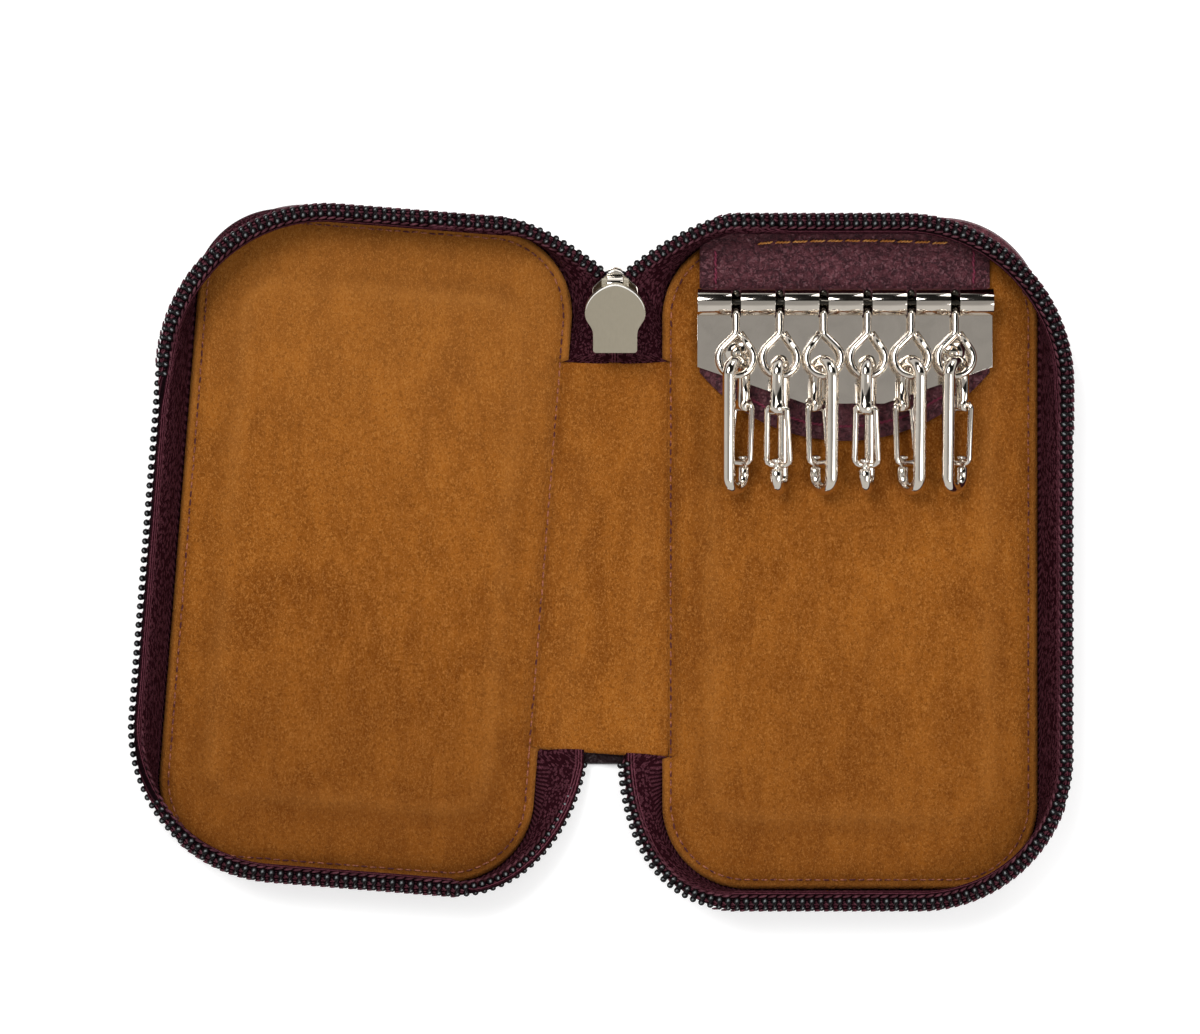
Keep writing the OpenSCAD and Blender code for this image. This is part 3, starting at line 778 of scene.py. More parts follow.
    @staticmethod
    def wave(t: Tree, turns: object) -> bpy.types.NodeSocket:
        """Even ridges from 0 to 1, one for each whole turn."""
        sine = t.math("SINE", t.share(turns, 2 * math.pi))
        return t.math("ADD", t.share(sine, 0.5), 0.5)

    @cached_property
    def rub(self) -> bpy.types.NodeTree:
        """Handling marks: fine scratches and a cloudy film for metal."""
        group, t, given, out = self._group(
            "handling marks",
            [("Vector", "NodeSocketVector", 0), ("Scale", "NodeSocketFloat", 300)],
            ["Film", "Scratch"],
        )
        v = given.outputs["Vector"]
        film = t.node("ShaderNodeTexNoise", in_Detail=5, in_Distortion=0.5)
        t.link(v, film.inputs["Vector"])
        t.link(given.outputs["Scale"], film.inputs["Scale"])
        fine = t.noise(t.stretch(v, (6, 0.35, 2)), 2600, 2, 0.4)
        t.link(t.ramp(film.outputs[0], 0.35, 0.75), out.inputs["Film"])
        t.link(t.ramp(fine, 0.62, 0.74), out.inputs["Scratch"])
        return group


class Finish:
    """A finish that makes its material once."""

    name: str = "finish"
    groups = EffectGroups()
    _done: dict[str, bpy.types.Material] = {}

    def material(self) -> bpy.types.Material:
        """Gives the finish's material, and makes it on first use."""
        if self.name not in Finish._done:
            made = bpy.data.materials.new(self.name)
            made.use_nodes = True
            self.dress(Tree(made.node_tree), made.node_tree.nodes["Principled BSDF"])
            Finish._done[self.name] = made
        return Finish._done[self.name]

    def dress(self, t: Tree, shader: bpy.types.Node) -> None:
        """Lays out the finish's nodes."""
        raise NotImplementedError

    @staticmethod
    def place(t: Tree) -> bpy.types.NodeSocket:
        """Object coordinates for a finish."""
        return t.node("ShaderNodeTexCoord").outputs["Object"]

    @staticmethod
    def use(
        t: Tree, group: bpy.types.NodeTree, vector: object, **values: float
    ) -> bpy.types.Node:
        """Puts a shared group in a finish.

        Args:
            t: the finish's layout.
            group: the shared group.
            vector: what its first input takes.
            values: the finish's own values for its other inputs.

        Returns:
            The group's node.
        """
        made = t.node("ShaderNodeGroup", node_tree=group)
        t.link(vector, made.inputs[0])
        for key, value in values.items():
            made.inputs[key].default_value = value
        return made

    @staticmethod
    def tune(shader: bpy.types.Node, **values: object) -> None:
        """Sets values on the shader's own sockets."""
        for key, value in values.items():
            shader.inputs[key.replace("_", " ")].default_value = value

    @staticmethod
    def relief(
        t: Tree, shader: bpy.types.Node, height: object, strength: float, depth: float
    ) -> None:
        """Feeds a height into the shader's normal.

        Args:
            t: the finish's layout.
            shader: the shader that takes it.
            height: the height's socket.
            strength: how much of it shows.
            depth: its full depth, in metres.
        """
        made = t.node("ShaderNodeBump", in_Strength=strength, in_Distance=depth)
        t.link(height, made.inputs["Height"])
        t.link(made.outputs[0], shader.inputs["Normal"])


@dataclass(frozen=True)
class SuedeFinish(Finish):
    """Brushed caramel suede with cloudy nap."""

    name: str = "caramel suede"
    dark: Colour = (0.155, 0.042, 0.004)
    light: Colour = (0.315, 0.103, 0.0125)
    # Pale colour of fibre specks and rub marks, also used for painted light.
    rubbed_and_lit: Colour = (0.43, 0.175, 0.038)
    pit: Colour = (0.120, 0.032, 0.003)
    shaded: Colour = (0.10, 0.028, 0.004)
    nap_depth: float = 0.00045

    def dress(self, t: Tree, shader: bpy.types.Node) -> None:
        """Mottled colour, rub marks, painted light and painted shade, and a fibrous surface.
        """
        nap = self.use(t, self.groups.nap, self.place(t))
        height = nap.outputs["Height"]
        base = t.mix(nap.outputs["Mottle"], self.dark, self.light)
        pitted = t.mix(t.share(t.ramp(height, 0.56, 0.44), 0.55), base, self.pit)
        specks = t.share(t.ramp(nap.outputs["Fibre"], 0.48, 0.66), 0.60)
        speckled = t.mix(specks, pitted, self.rubbed_and_lit)
        # Made lighter by rub marks and by painted light on the left cover's top.
        lightened = t.mix(t.share(t.painted("rub_and_painted_light"), 0.25), speckled, self.rubbed_and_lit)
        own = t.mix(t.share(t.painted("shade"), 0.5), lightened, self.shaded)
        t.link(own, shader.inputs["Base Color"])
        self.tune(
            shader,
            Roughness=0.95,
            Specular_IOR_Level=0.05,
            Sheen_Weight=0.04,
            Sheen_Roughness=0.5,
            Sheen_Tint=(1.0, 0.72, 0.42, 1),
        )
        self.relief(t, shader, height, 0.75, self.nap_depth)


@dataclass(frozen=True)
class LeatherFinish(Finish):
    """Burgundy leather with a rounded pebble grain."""

    name: str = "burgundy leather"
    hide: Colour = (0.120, 0.034, 0.044)
    crease: Colour = (0.036, 0.009, 0.014)
    shaded: Colour = (0.016, 0.005, 0.007)
    grain: float = 1150.0
    grain_depth: float = 0.00040

    def dress(self, t: Tree, shader: bpy.types.Node) -> None:
        """Pebbles, dark creases and a soft shine on the grain's tops."""
        grain = self.use(t, self.groups.pebble, self.place(t), Scale=self.grain)
        toned = t.mix(
            t.ramp(grain.outputs["Tone"], 0.3, 0.7),
            tuple(c * 0.90 for c in self.hide),
            tuple(c * 1.08 for c in self.hide),
        )
        own = t.mix(grain.outputs["Crease"], self.crease, toned)
        t.link(t.mix(t.painted("shade"), own, self.shaded), shader.inputs["Base Color"])
        dull = t.math("SUBTRACT", 0.52, t.share(grain.outputs["Pebble"], 0.20))
        t.link(dull, shader.inputs["Roughness"])
        self.tune(shader, Specular_IOR_Level=0.30)
        self.relief(t, shader, grain.outputs["Pebble"], 1.0, self.grain_depth)


@dataclass(frozen=True)
class TapeFinish(Finish):
    """Woven burgundy zip tape."""

    name: str = "zip tape"
    yarn: Colour = (0.062, 0.0125, 0.021)
    loops: Colour = (0.160, 0.0485, 0.068)
    gap: Colour = (0.018, 0.003, 0.0055)
    shadow: Colour = (0.006, 0.002, 0.003)
    weave_depth: float = 0.00045

    def dress(self, t: Tree, shader: bpy.types.Node) -> None:
        """Ribs next to the suede, a loopy middle and fine cords by the teeth."""
        run = t.node("ShaderNodeAttribute", attribute_name="run")
        weave = self.use(t, self.groups.weave, run.outputs["Vector"])
        thread = weave.outputs["Thread"]
        fuzz = t.noise(self.place(t), 3600, 3, 0.5)
        body = t.mix(t.ramp(thread, 0.08, 0.5), self.gap, self.yarn)
        bright = t.share(weave.outputs["Loops"], t.ramp(fuzz, 0.24, 0.56))
        woven = t.mix(bright, body, self.loops)
        own = t.mix(weave.outputs["Shadow"], woven, self.shadow)
        t.link(own, shader.inputs["Base Color"])
        self.tune(shader, Roughness=0.85, Specular_IOR_Level=0.02)
        height = t.math("ADD", thread, t.share(fuzz, 0.4))
        self.relief(t, shader, height, 1.0, self.weave_depth)


@dataclass(frozen=True)
class CoilFinish(Finish):
    """Shiny black nylon coil."""

    name: str = "black coil"
    black: Colour = (0.0015, 0.001, 0.0015)
    scuffed: Colour = (0.005, 0.003, 0.004)
    # Painted highlight colour for the bead tops.
    polished: Colour = (0.20, 0.215, 0.22)

    def dress(self, t: Tree, shader: bpy.types.Node) -> None:
        """Near black, with painted highlights on the bead tops that a piece marks as glints.
        """
        scuff = t.noise(self.place(t), 1500, 3)
        nylon = t.mix(scuff, self.black, self.scuffed)
        own = t.mix(t.ramp(t.painted("glint"), 0.35, 1.0), nylon, self.polished)
        t.link(own, shader.inputs["Base Color"])
        t.link(t.math("ADD", 0.06, t.share(scuff, 0.06)), shader.inputs["Roughness"])
        self.tune(shader, Specular_IOR_Level=0.14)


@dataclass(frozen=True)
class ThreadFinish(Finish):
    """Twisted sewing thread in one colour."""

    name: str = "burgundy thread"
    colour: Colour = (0.040, 0.010, 0.015)
    lit: Colour | None = None
    twist_depth: float = 0.0001

    def dress(self, t: Tree, shader: bpy.types.Node) -> None:
        """Fine twist in the thread's own colour, with lighter, scuffed lengths."""
        v = self.place(t)
        twist = t.noise(v, 4200, 3, 1.5)
        own = t.mix(
            twist,
            tuple(c * 0.5 for c in self.colour),
            tuple(min(1.0, c * 1.6) for c in self.colour),
        )
        if self.lit:
            lengths = t.ramp(t.noise(v, 620, 2), 0.44, 0.56)
            lightened = t.share(lengths, t.ramp(twist, 0.3, 0.62))
            own = t.mix(lightened, own, self.lit)
        t.link(own, shader.inputs["Base Color"])
        self.tune(shader, Roughness=0.65, Specular_IOR_Level=0.2)
        self.relief(t, shader, twist, 0.5, self.twist_depth)


@dataclass(frozen=True)
class NickelFinish(Finish):
    """Polished nickel plate."""

    name: str = "bright nickel"
    colour: Colour = (0.80, 0.74, 0.665)
    gloss: float = 0.07
    metal: float = 1.0
    # Painted shade and dark reflection for metal inside the barrel's slots.
    slot_shade_colour: Colour = (0.05, 0.045, 0.038)
    film_depth: float = 0.0001

    def dress(self, t: Tree, shader: bpy.types.Node) -> None:
        """Mirror plate with a faint film and hairlines, and painted shade and dark reflection
        inside the barrel's slots.
        """
        rub = self.use(t, self.groups.rub, self.place(t), Scale=260.0)
        film = rub.outputs["Film"]
        clean = t.mix(film, self.colour, tuple(c * 0.93 for c in self.colour))
        own = t.mix(t.painted("slot_shade"), clean, self.slot_shade_colour)
        t.link(own, shader.inputs["Base Color"])
        marks = t.total((film, 0.05), (rub.outputs["Scratch"], 0.05))
        t.link(t.math("ADD", self.gloss, marks), shader.inputs["Roughness"])
        self.tune(shader, Metallic=self.metal)
        self.relief(t, shader, film, 0.04, self.film_depth)


@dataclass(frozen=True)
class SatinFinish(Finish):
    """Satin nickel, brushed along the pull tab."""

    name: str = "satin nickel"
    colour: Colour = (0.43, 0.385, 0.30)
    line_depth: float = 0.00005

    def dress(self, t: Tree, shader: bpy.types.Node) -> None:
        """Fine brushed lines along the tab."""
        lines = t.noise(t.stretch(self.place(t), (1, 0.02, 1)), 5200, 3)
        own = t.mix(
            lines,
            tuple(c * 0.94 for c in self.colour),
            tuple(c * 1.05 for c in self.colour),
        )
        t.link(own, shader.inputs["Base Color"])
        t.link(t.math("ADD", 0.36, t.share(lines, 0.12)), shader.inputs["Roughness"])
        self.tune(shader, Metallic=1.0)
        self.relief(t, shader, lines, 0.05, self.line_depth)


@dataclass(frozen=True)
class BoardFinish(Finish):
    """Grey stiffener board inside the covers."""

    name: str = "stiffener board"
    dark: Colour = (0.22, 0.18, 0.13)
    light: Colour = (0.38, 0.33, 0.26)
    fibre_depth: float = 0.0001

    def dress(self, t: Tree, shader: bpy.types.Node) -> None:
        """Pressed fibres in grey brown."""
        fibre = t.noise(self.place(t), 900, 4, 0.8)
        t.link(t.mix(fibre, self.dark, self.light), shader.inputs["Base Color"])
        self.tune(shader, Roughness=0.9)
        self.relief(t, shader, fibre, 0.3, self.fibre_depth)


SUEDE = SuedeFinish()
LEATHER = LeatherFinish()
# A brighter copy of the burgundy leather for the shell: painted light that makes up for the
# shade on its curled edges.
LIT_SHELL = LeatherFinish("shell leather", (0.165, 0.046, 0.060), (0.060, 0.015, 0.023))
TAPE = TapeFinish()
COIL = CoilFinish()
ZIP_THREAD = ThreadFinish("zip sewing thread", (0.045, 0.009, 0.015), (0.12, 0.036, 0.050))
SUEDE_THREAD = ThreadFinish("suede seam thread", (0.070, 0.016, 0.017), (0.42, 0.15, 0.075))
RASPBERRY = ThreadFinish("raspberry thread", (0.17, 0.026, 0.052))
ORANGE = ThreadFinish("orange thread", (0.44, 0.16, 0.035), (0.75, 0.36, 0.11))
NICKEL = NickelFinish()
# Pale, partly metallic nickel that stands in for light on the tab's bevelled edge: a painted
# highlight.
HIGHLIGHT_NICKEL = NickelFinish("rim nickel", (0.95, 0.93, 0.88), 0.38, 0.35)
SATIN = SatinFinish()
BOARD = BoardFinish()


# Stitching


@dataclass
class Seam:
    """A row of stitches along a line on a surface."""

    name: str
    points: list[Vector]
    finish: Finish = SUEDE_THREAD
    pitch: float = 1.35
    stitch: float = 1.2
    radius: float = 0.13
    strands: int = 1
    lift: float = 0.02
    up: Vector = field(default_factory=lambda: Vector((0, 0, 1)))
    seed: float = 0.0
    steps: int = 6
    sides: int = 6
    strand_lean: float = 0.9
    strand_overlap: float = 1.35
    crown: float = 0.5
    dive: float = 2.2
    twist: float = 0.16
    twists: int = 3
    end_share: float = 0.72
    swell: float = 0.28
    unevenness: float = 0.7
    stray_turn: float = 0.22
    stray_side: float = 0.08

    def pattern(self) -> bpy.types.Mesh:
        """Makes one stitch: a short thread whose ends dive into the hide."""
        bm = bmesh.new()
        half = self.stitch / 2 / self.strands
        several = self.strands > 1
        lean = self.strand_lean * self.radius if several else 0.0
        reach = self.strand_overlap * half if several else half
        for strand in range(self.strands):
            middle = (2 * strand + 1 - self.strands) * half
            points, radii = [], []
            for i in range(self.steps + 1):
                t = i / self.steps
                fall = self.dive * self.radius * abs(2 * t - 1) ** 3
                sink = self.crown * self.radius - fall
                points.append(
                    Vector((middle + lerp(-reach, reach, t), lerp(-lean, lean, t), sink))
                )
                twist = 1 + self.twist * math.cos(2 * self.twists * math.pi * t)
                full = self.end_share + self.swell * math.sin(math.pi * t)
                radii.append(self.radius * twist * full)
            tube(bm, points, radii, self.sides)
        return as_mesh(self.name + "_stitch", bm)

    def stations(self) -> list[tuple[Vector, Vector]]:
        """Even places along the line, each with its direction."""
        runs = [0.0]
        for a, b in zip(self.points, self.points[1:]):
            runs.append(runs[-1] + (b - a).length)
        count = max(1, round(runs[-1] / self.pitch))
        step = runs[-1] / count
        out, k = [], 0
        for i in range(count):
            want = (i + 0.5) * step
            while k < len(runs) - 2 and runs[k + 1] < want:
                k += 1
            t = (want - runs[k]) / max(1e-9, runs[k + 1] - runs[k])
            a, b = self.points[k], self.points[k + 1]
            out.append((a.lerp(b, t), (b - a).normalized()))
        return out

    def build(self) -> Piece:
        """Makes the whole row as one piece."""
        pattern = self.pattern()
        bm = bmesh.new()
        for place, ahead in self.stations():
            wobble = noise.noise(place * self.unevenness + Vector((self.seed, 0, 0)))
            side = self.up.cross(ahead).normalized()
            ahead = (ahead + side * self.stray_turn * wobble).normalized()
            side = self.up.cross(ahead).normalized()
            up = ahead.cross(side)
            spot = place + self.up * self.lift + side * self.stray_side * wobble
            stamp(bm, pattern, frame_matrix(spot, ahead, side, up))
        bpy.data.meshes.remove(pattern)
        return make_piece(self.name, bm, self.finish.material())


# Soft panels


def beside_spine(
    x: float, y: float, edge: float, start: float, room: float, ends: Pair
) -> Pair:
    """Draws a cover's grid back to the fold where the spine's hide lies beside it.

    Args:
        x: the point's place across the cover.
        y: its place along the fold.
        edge: the cover's own edge on the fold side.
        start: where its hide starts beside the spine.
        room: how far from there the grid closes up.
        ends: the lower and upper end of the spine's hide.

    Returns:
        The new place across and along, with a row just past each end.
    """
    row, past = 0.92, 0.04
    low, high = ends
    far = start + room
    if low < y < high and x < far:
        x = far - (far - x) * room / (far - edge)
    if x < far and low - row < y <= low:
        y = low - past
    elif x < far and high <= y < high + row:
        y = high + past
    return x, y


def fold_strip(
    side: Side, section: Sequence[Pair], low: float, high: float
) -> BMesh:
    """Lofts a strip of hide along one fold.

    Args:
        side: the fold's side.
        section: its outline, as distances from the fold to the cover and heights.
        low: its lower end.
        high: its upper end.

    Returns:
        The strip's mesh.
    """
    steps = 40
    bm = bmesh.new()
    rings = []
    for i in range(steps + 1):
        y = lerp(low, high, i / steps)
        fold = SIZES.fold_line(side, y)
        rings.append([Vector((fold + out * side.value, y, z)) for out, z in section])
    loft(bm, rings)
    return bm


@dataclass
class SuedeLining:
    """The suede inside: one panel on each cover and one on the spine."""

    thickness: float = 0.75
    spine_thickness: float = 0.7
    step: float = 0.75
    stitch_inset: float = 1.4
    seam_lift: float = 0.05
    board_ridge: Ridge = Ridge(0.20, 0.3, 0.8)
    board_ditch: Ridge = Ridge(0.14, 2.0, 1.0)
    seam_groove: Ridge = Ridge(0.24, -1.4, 0.5)
    turned_edge: Ridge = Ridge(0.35, 0.0, 0.55)
    sway: float = 0.22
    ripple: float = 0.05
    fold_dip: float = 1.1
    fold_dip_ends: Pair = (0.3, 2.6)
    fold_gap: float = 0.12
    fold_room: float = 1.5
    rubbed_ridge: Ridge = Ridge(1.0, 0.6, 1.3)
    lighter_edge: float = 0.8
    lighter_edge_from: float = 1.3
    lighter_edge_to: float = 0.9
    # Painted light: the left cover's suede grows lighter towards its top.
    painted_light_top: float = 0.75
    painted_light_top_at: float = 45.0
    shaded_ditch: Ridge = Ridge(0.5, 2.6, 1.3)
    shaded_seam: Ridge = Ridge(0.5, -1.4, 0.4)
    shaded_low: float = 0.70
    shaded_middle: float = 0.06
    shaded_from: float = -5.0
    shaded_to: float = -48.0
    middle_from: float = 20.0
    right_shade: float = 0.6
    right_least: float = 0.06
    spine_steps: tuple[int, int] = (28, 84)
    spine_foot: float = 0.25
    spine_foot_slope: float = 0.75
    spine_sag: float = 0.06
    spine_bow: float = 0.12
    spine_end: Ridge = Ridge(0.25, 0.0, 0.6)
    spine_dent: float = 0.35
    top_row: float = 0.999
    spine_rub: Ridge = Ridge(0.25, -0.55, 0.18)
    spine_shade: Ridge = Ridge(0.4, 0.0, 0.06)
    spine_shade_at: float = 0.93
    strip_low: float = 0.15
    strip_high: float = 0.4
    strip_bend: float = 0.8
    strip_section: tuple[Pair, ...] = (
        (-1.1, 1.42),
        (-0.3, 1.36),
        (0.5, 1.38),
        (1.2, 1.44),
        (1.2, 1.80),
        (0.5, 1.92),
        (-0.3, 1.92),
        (-1.1, 1.84),
    )

    def height(self, x: float, y: float, side: Side) -> float:
        """Level of a cover's suede above the panel's plain top.

        Args:
            x: place across the right cover.
            y: place along it.
            side: the cover that it is wanted on.

        Returns:
            The level.
        """
        s = SIZES
        deep, board = s.lining.depth(x, y), s.board.depth(x, y)
        sway = noise.noise(Vector((x * 0.055, y * 0.055, 3.0)))
        ripple = noise.noise(Vector((x * 0.25, y * 0.19, 8.0)))
        level = self.board_ridge.at(board) - self.board_ditch.at(board)
        level = level - self.seam_groove.at(deep) - self.turned_edge.at(deep)
        level = level + self.sway * sway + self.ripple * ripple
        if s.zone_low(side) < y < s.zone_high:
            level -= self.fold_dip * (1 - smooth(*self.fold_dip_ends, x - s.fold_x))
        return level

    def rub_light_and_shade(self, x: float, y: float, side: Side) -> Pair:
        """How much a point of a cover's suede is made lighter by rub marks, a lighter edge
        and painted light, and darker by painted shade.

        Args:
            x: place across the right cover.
            y: place along it.
            side: the cover that it is wanted on.

        Returns:
            The rub with its painted light, and the painted shade.
        """
        s = SIZES
        deep, board = s.lining.depth(x, y), s.board.depth(x, y)
        patchy = 0.5 + 0.5 * noise.noise(Vector((x * 0.09, y * 0.09, 5.0)))
        edge = 0.0
        # Lighter along the edge outside the seam.
        if deep < self.lighter_edge_from:
            edge = smooth(self.lighter_edge_from, self.lighter_edge_to, deep)
        rub = max(self.rubbed_ridge.at(board) * patchy, self.lighter_edge * edge)
        low = self.shaded_low * smooth(self.shaded_from, self.shaded_to, y)
        low += self.shaded_middle * smooth(self.middle_from, self.shaded_from, y)
        if side is Side.LEFT:
            # Painted light towards the left cover's top.
            rub += self.painted_light_top * smooth(0.0, self.painted_light_top_at, y)
        else:
            low = self.right_shade * low + self.right_least
        shade = self.shaded_ditch.at(board) * patchy + self.shaded_seam.at(deep) + low
        return rub, shade

    def outer_part(self, side: Side) -> Piece:
        """Makes one cover's suede panel."""
        s = SIZES
        bm = bmesh.new()
        s.lining.grid(bm, self.step)
        rub_and_painted_light = bm.verts.layers.float.new("rub_and_painted_light")
        shade = bm.verts.layers.float.new("shade")
        start = s.fold_x + self.fold_gap
        ends = (s.zone_low(side), s.zone_high)
        for vert in bm.verts:
            x, y = beside_spine(
                vert.co.x, vert.co.y, s.lining_x0, start, self.fold_room, ends
            )
            vert[rub_and_painted_light], vert[shade] = self.rub_light_and_shade(x, y, side)
            vert.co = Vector((x, y, s.lining_top + self.height(x, y, side)))
        bmesh.ops.transform(bm, matrix=s.cover_matrix(side), verts=bm.verts)
        if side is Side.LEFT:
            bmesh.ops.reverse_faces(bm, faces=bm.faces)
        piece = make_piece(f"{side.label}_suede", bm, SUEDE.material())
        thicken(piece, self.thickness)
        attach(piece, f"{side.label}_cover")
        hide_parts(f"{side.label}_lining")
        return piece

    def spine_part(self) -> Piece:
        """Makes the spine's suede panel between the two folds."""
        s = SIZES
        bm = bmesh.new()
        across, along = self.spine_steps
        bmesh.ops.create_grid(bm, x_segments=across, y_segments=along, size=1)
        rub_and_painted_light = bm.verts.layers.float.new("rub_and_painted_light")
        shade = bm.verts.layers.float.new("shade")
        low = s.spine_shift - s.spine_lining_half
        high = s.spine_shift + s.spine_lining_half
        for vert in bm.verts:
            u, w = vert.co.x, vert.co.y
            foot = low - self.spine_foot - self.spine_foot_slope * u
            y = lerp(foot, high, (w + 1) / 2)
            x = s.spine_x(u, y)
            sag = self.spine_sag * noise.noise(Vector((x * 0.12, y * 0.08, 1.0)))
            bow = self.spine_bow * (1 - u * u)
            level = s.fold_z + sag + bow - self.spine_end.at(min(y - foot, high - y))
            on_top_row = w > self.top_row
            dent = self.spine_dent * math.sin(math.pi * (u + 1) / 2) if on_top_row else 0.0
            vert[rub_and_painted_light] = self.spine_rub.at(abs(u))
            vert[shade] = self.spine_shade.at(abs(abs(u) - self.spine_shade_at))
            vert.co = Vector((x, y - dent, level))
        piece = make_piece("spine_suede", bm, SUEDE.material())
        thicken(piece, self.spine_thickness)
        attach(piece, "spine")
        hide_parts("spine_lining")
        return piece

    def strip(self, side: Side) -> Piece:
        """Makes the suede that lies along one fold, just under the panels."""
        s = SIZES
        low = s.spine_shift - s.spine_lining_half + self.strip_low
        high = s.spine_shift + s.spine_lining_half - self.strip_high
        bm = fold_strip(side, self.strip_section, low, high)
        piece = make_piece(f"{side.label}_fold_suede", bm, SUEDE.material())
        start, end = s.fold_span(side, self.strip_bend)
        f"{side.label}_cover"
        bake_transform(piece)
        return piece

    def seam_line(self) -> list[Vector]:
        """Flat line of the stitches round a cover, drawn on the right one."""
        path = SIZES.edge_path(self.stitch_inset, 0.1)
        legs = (
            ((0, 0), (1, -1), (180, 180), 90),
            ((0, 0), (-1, -1), (180, 270), 15),
            ((0, 1), (-1, -1), (270, 270), 30),
            ((1, 1), (-1, -1), (270, 360), 15),
            ((1, 1), (-1, 1), (0, 0), 90),
            ((1, 1), (1, 1), (0, 90), 15),
            ((1, 0), (1, 1), (90, 90), 30),
            ((0, 0), (1, 1), (90, 180), 15),
        )
        points = [path.point(0, 1, 180)]
        for u, v, a, count in legs:
            for i in range(1, count + 1):
                points.append(path.point(*(p + (q - p) * i / count for p, q in (u, v, a))))
        return points

    def build(self) -> list[Piece]:
        """Makes the lining's panels, folds and stitches."""
        made = [self.spine_part()]
        for side in Side:
            made.append(self.outer_part(side))
            made.append(self.strip(side))
            line = []
            for p in self.seam_line():
                level = SIZES.lining_top + self.height(p.x, p.y, side)
                line.append(SIZES.on_cover(Vector((p.x, p.y, level)), side))
            seam = Seam(
                f"{side.label}_suede_seam", line, lift=self.seam_lift, seed=float(side.value)
            ).build()
            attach(seam, f"{side.label}_cover")
            made.append(seam)
        return made


@dataclass
class OuterLeather:
    """The burgundy leather outside: covers, spine and the folds between."""

    thickness: float = 1.0
    step: float = 0.9
    seam_lift: float = -0.02
    puff: float = 0.05
    seam_ridge: Ridge = Ridge(0.22, -2.4, 0.5)
    curl: Ridge = Ridge(0.55, 0.0, 0.9)
    fold_ridge: Ridge = Ridge(0.35, 0.0, 0.8)
    fold_gap: float = 0.15
    fold_room: float = 2.0
    spine_steps: tuple[int, int] = (24, 72)
    spine_level: float = 0.03
    spine_side: Ridge = Ridge(0.35, 0.0, 0.08)
    spine_end: Ridge = Ridge(0.3, 0.0, 0.7)
    spine_shade_from: float = 28.0
    spine_shade_to: float = 29.5
    strip_inset: float = 0.1
    strip_bend: float = 1.0
    strip_section: tuple[Pair, ...] = (
        (-1.4, 0.42),
        (-0.4, 0.50),
        (0.6, 0.50),
        (1.6, 0.42),
        (1.6, 1.02),
        (-1.4, 1.02),
    )

    @staticmethod
    def outline(side: Side) -> tuple[Panel, float]:
        """A cover's panel and its shift along the spine."""
        half, shift, radius = (51.5, 0.35, 17.5) if side is Side.LEFT else (52.0, 0.85, 15.5)
        s = SIZES
        panel = Panel(s.lining_x0 - s.leather_rim, s.lining_x1 + s.leather_rim, half, radius)
        return panel, shift

    def level(self, x: float, y: float, side: Side) -> float:
        """Height of the leather's outside above the table.

        Args:
            x: place across the right cover.
            y: place along it.
            side: the cover that it is wanted on.

        Returns:
            The height.
        """
        panel, shift = self.outline(side)
        deep = panel.depth(x, y - shift)
        puff = self.puff * (1 + noise.noise(Vector((x * 0.08, y * 0.08, 0.0))))
        fold = 0.0
        if abs(y) < SIZES.spine_leather_half:
            fold = self.fold_ridge.at(x - SIZES.fold_x)
        return puff + self.seam_ridge.at(deep) + self.curl.at(max(0.0, deep)) + fold

    def cover(self, side: Side) -> Piece:
        """Makes one cover's leather."""
        s = SIZES
        panel, shift = self.outline(side)
        bm = bmesh.new()
        panel.grid(bm, self.step)
        start = s.fold_x + self.fold_gap
        ends = (-s.spine_leather_half, s.spine_leather_half)
        for vert in bm.verts:
            x, y = beside_spine(
                vert.co.x, vert.co.y + shift, panel.x0, start, self.fold_room, ends
            )
            vert.co = Vector((x, y, self.level(x, y, side)))
        bmesh.ops.transform(bm, matrix=s.cover_matrix(side), verts=bm.verts)
        if side is Side.RIGHT:
            bmesh.ops.reverse_faces(bm, faces=bm.faces)
        piece = make_piece(f"{side.label}_outer_leather", bm, LIT_SHELL.material())
        thicken(piece, self.thickness)
        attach(piece, f"{side.label}_cover")
        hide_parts(f"{side.label}_leather")
        return piece

    def spine(self) -> Piece:
        """Makes the spine's leather."""
        s = SIZES
        bm = bmesh.new()
        across, along = self.spine_steps
        bmesh.ops.create_grid(bm, x_segments=across, y_segments=along, size=1)
        half = s.spine_leather_half
        shade = bm.verts.layers.float.new("shade")
        for vert in bm.verts:
            u, w = vert.co.x, vert.co.y
            y = w * half
            vert[shade] = smooth(self.spine_shade_from, self.spine_shade_to, abs(y))
            edge = self.spine_side.at(1 - abs(u)) + self.spine_end.at(half - abs(y))
            vert.co = Vector((s.spine_x(u, y), y, self.spine_level + edge))
        bmesh.ops.reverse_faces(bm, faces=bm.faces)
        piece = make_piece("spine_outer_leather", bm, LIT_SHELL.material())
        thicken(piece, self.thickness)
        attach(piece, "spine")
        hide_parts("spine_leather")
        return piece

    def strip(self, side: Side) -> Piece:
        """Makes the leather that lies along one fold."""
        s = SIZES
        half = s.spine_leather_half
        bm = fold_strip(
            side, self.strip_section, -half + self.strip_inset, half - self.strip_inset
        )
        piece = make_piece(f"{side.label}_fold_leather", bm, LIT_SHELL.material())
        start, end = s.fold_span(side, self.strip_bend)
        f"{side.label}_cover"
        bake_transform(piece)
        return piece

    def build(self) -> list[Piece]:
        """Makes the shell, its folds and the stitches that show outside."""
        made = [self.spine()]
        for side in Side:
            made.append(self.cover(side))
            made.append(self.strip(side))
            line = []
            for p in SuedeLining().seam_line():
                place = Vector((p.x, p.y, self.level(p.x, p.y, side)))
                line.append(SIZES.on_cover(place, side))
            seam = Seam(
                f"{side.label}_outer_seam",
                line,
                lift=self.seam_lift,
                up=Vector((0, 0, -1)),
                seed=4.0 + side.value,
            ).build()
            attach(seam, f"{side.label}_cover")
            made.append(seam)
        return made


# The zip


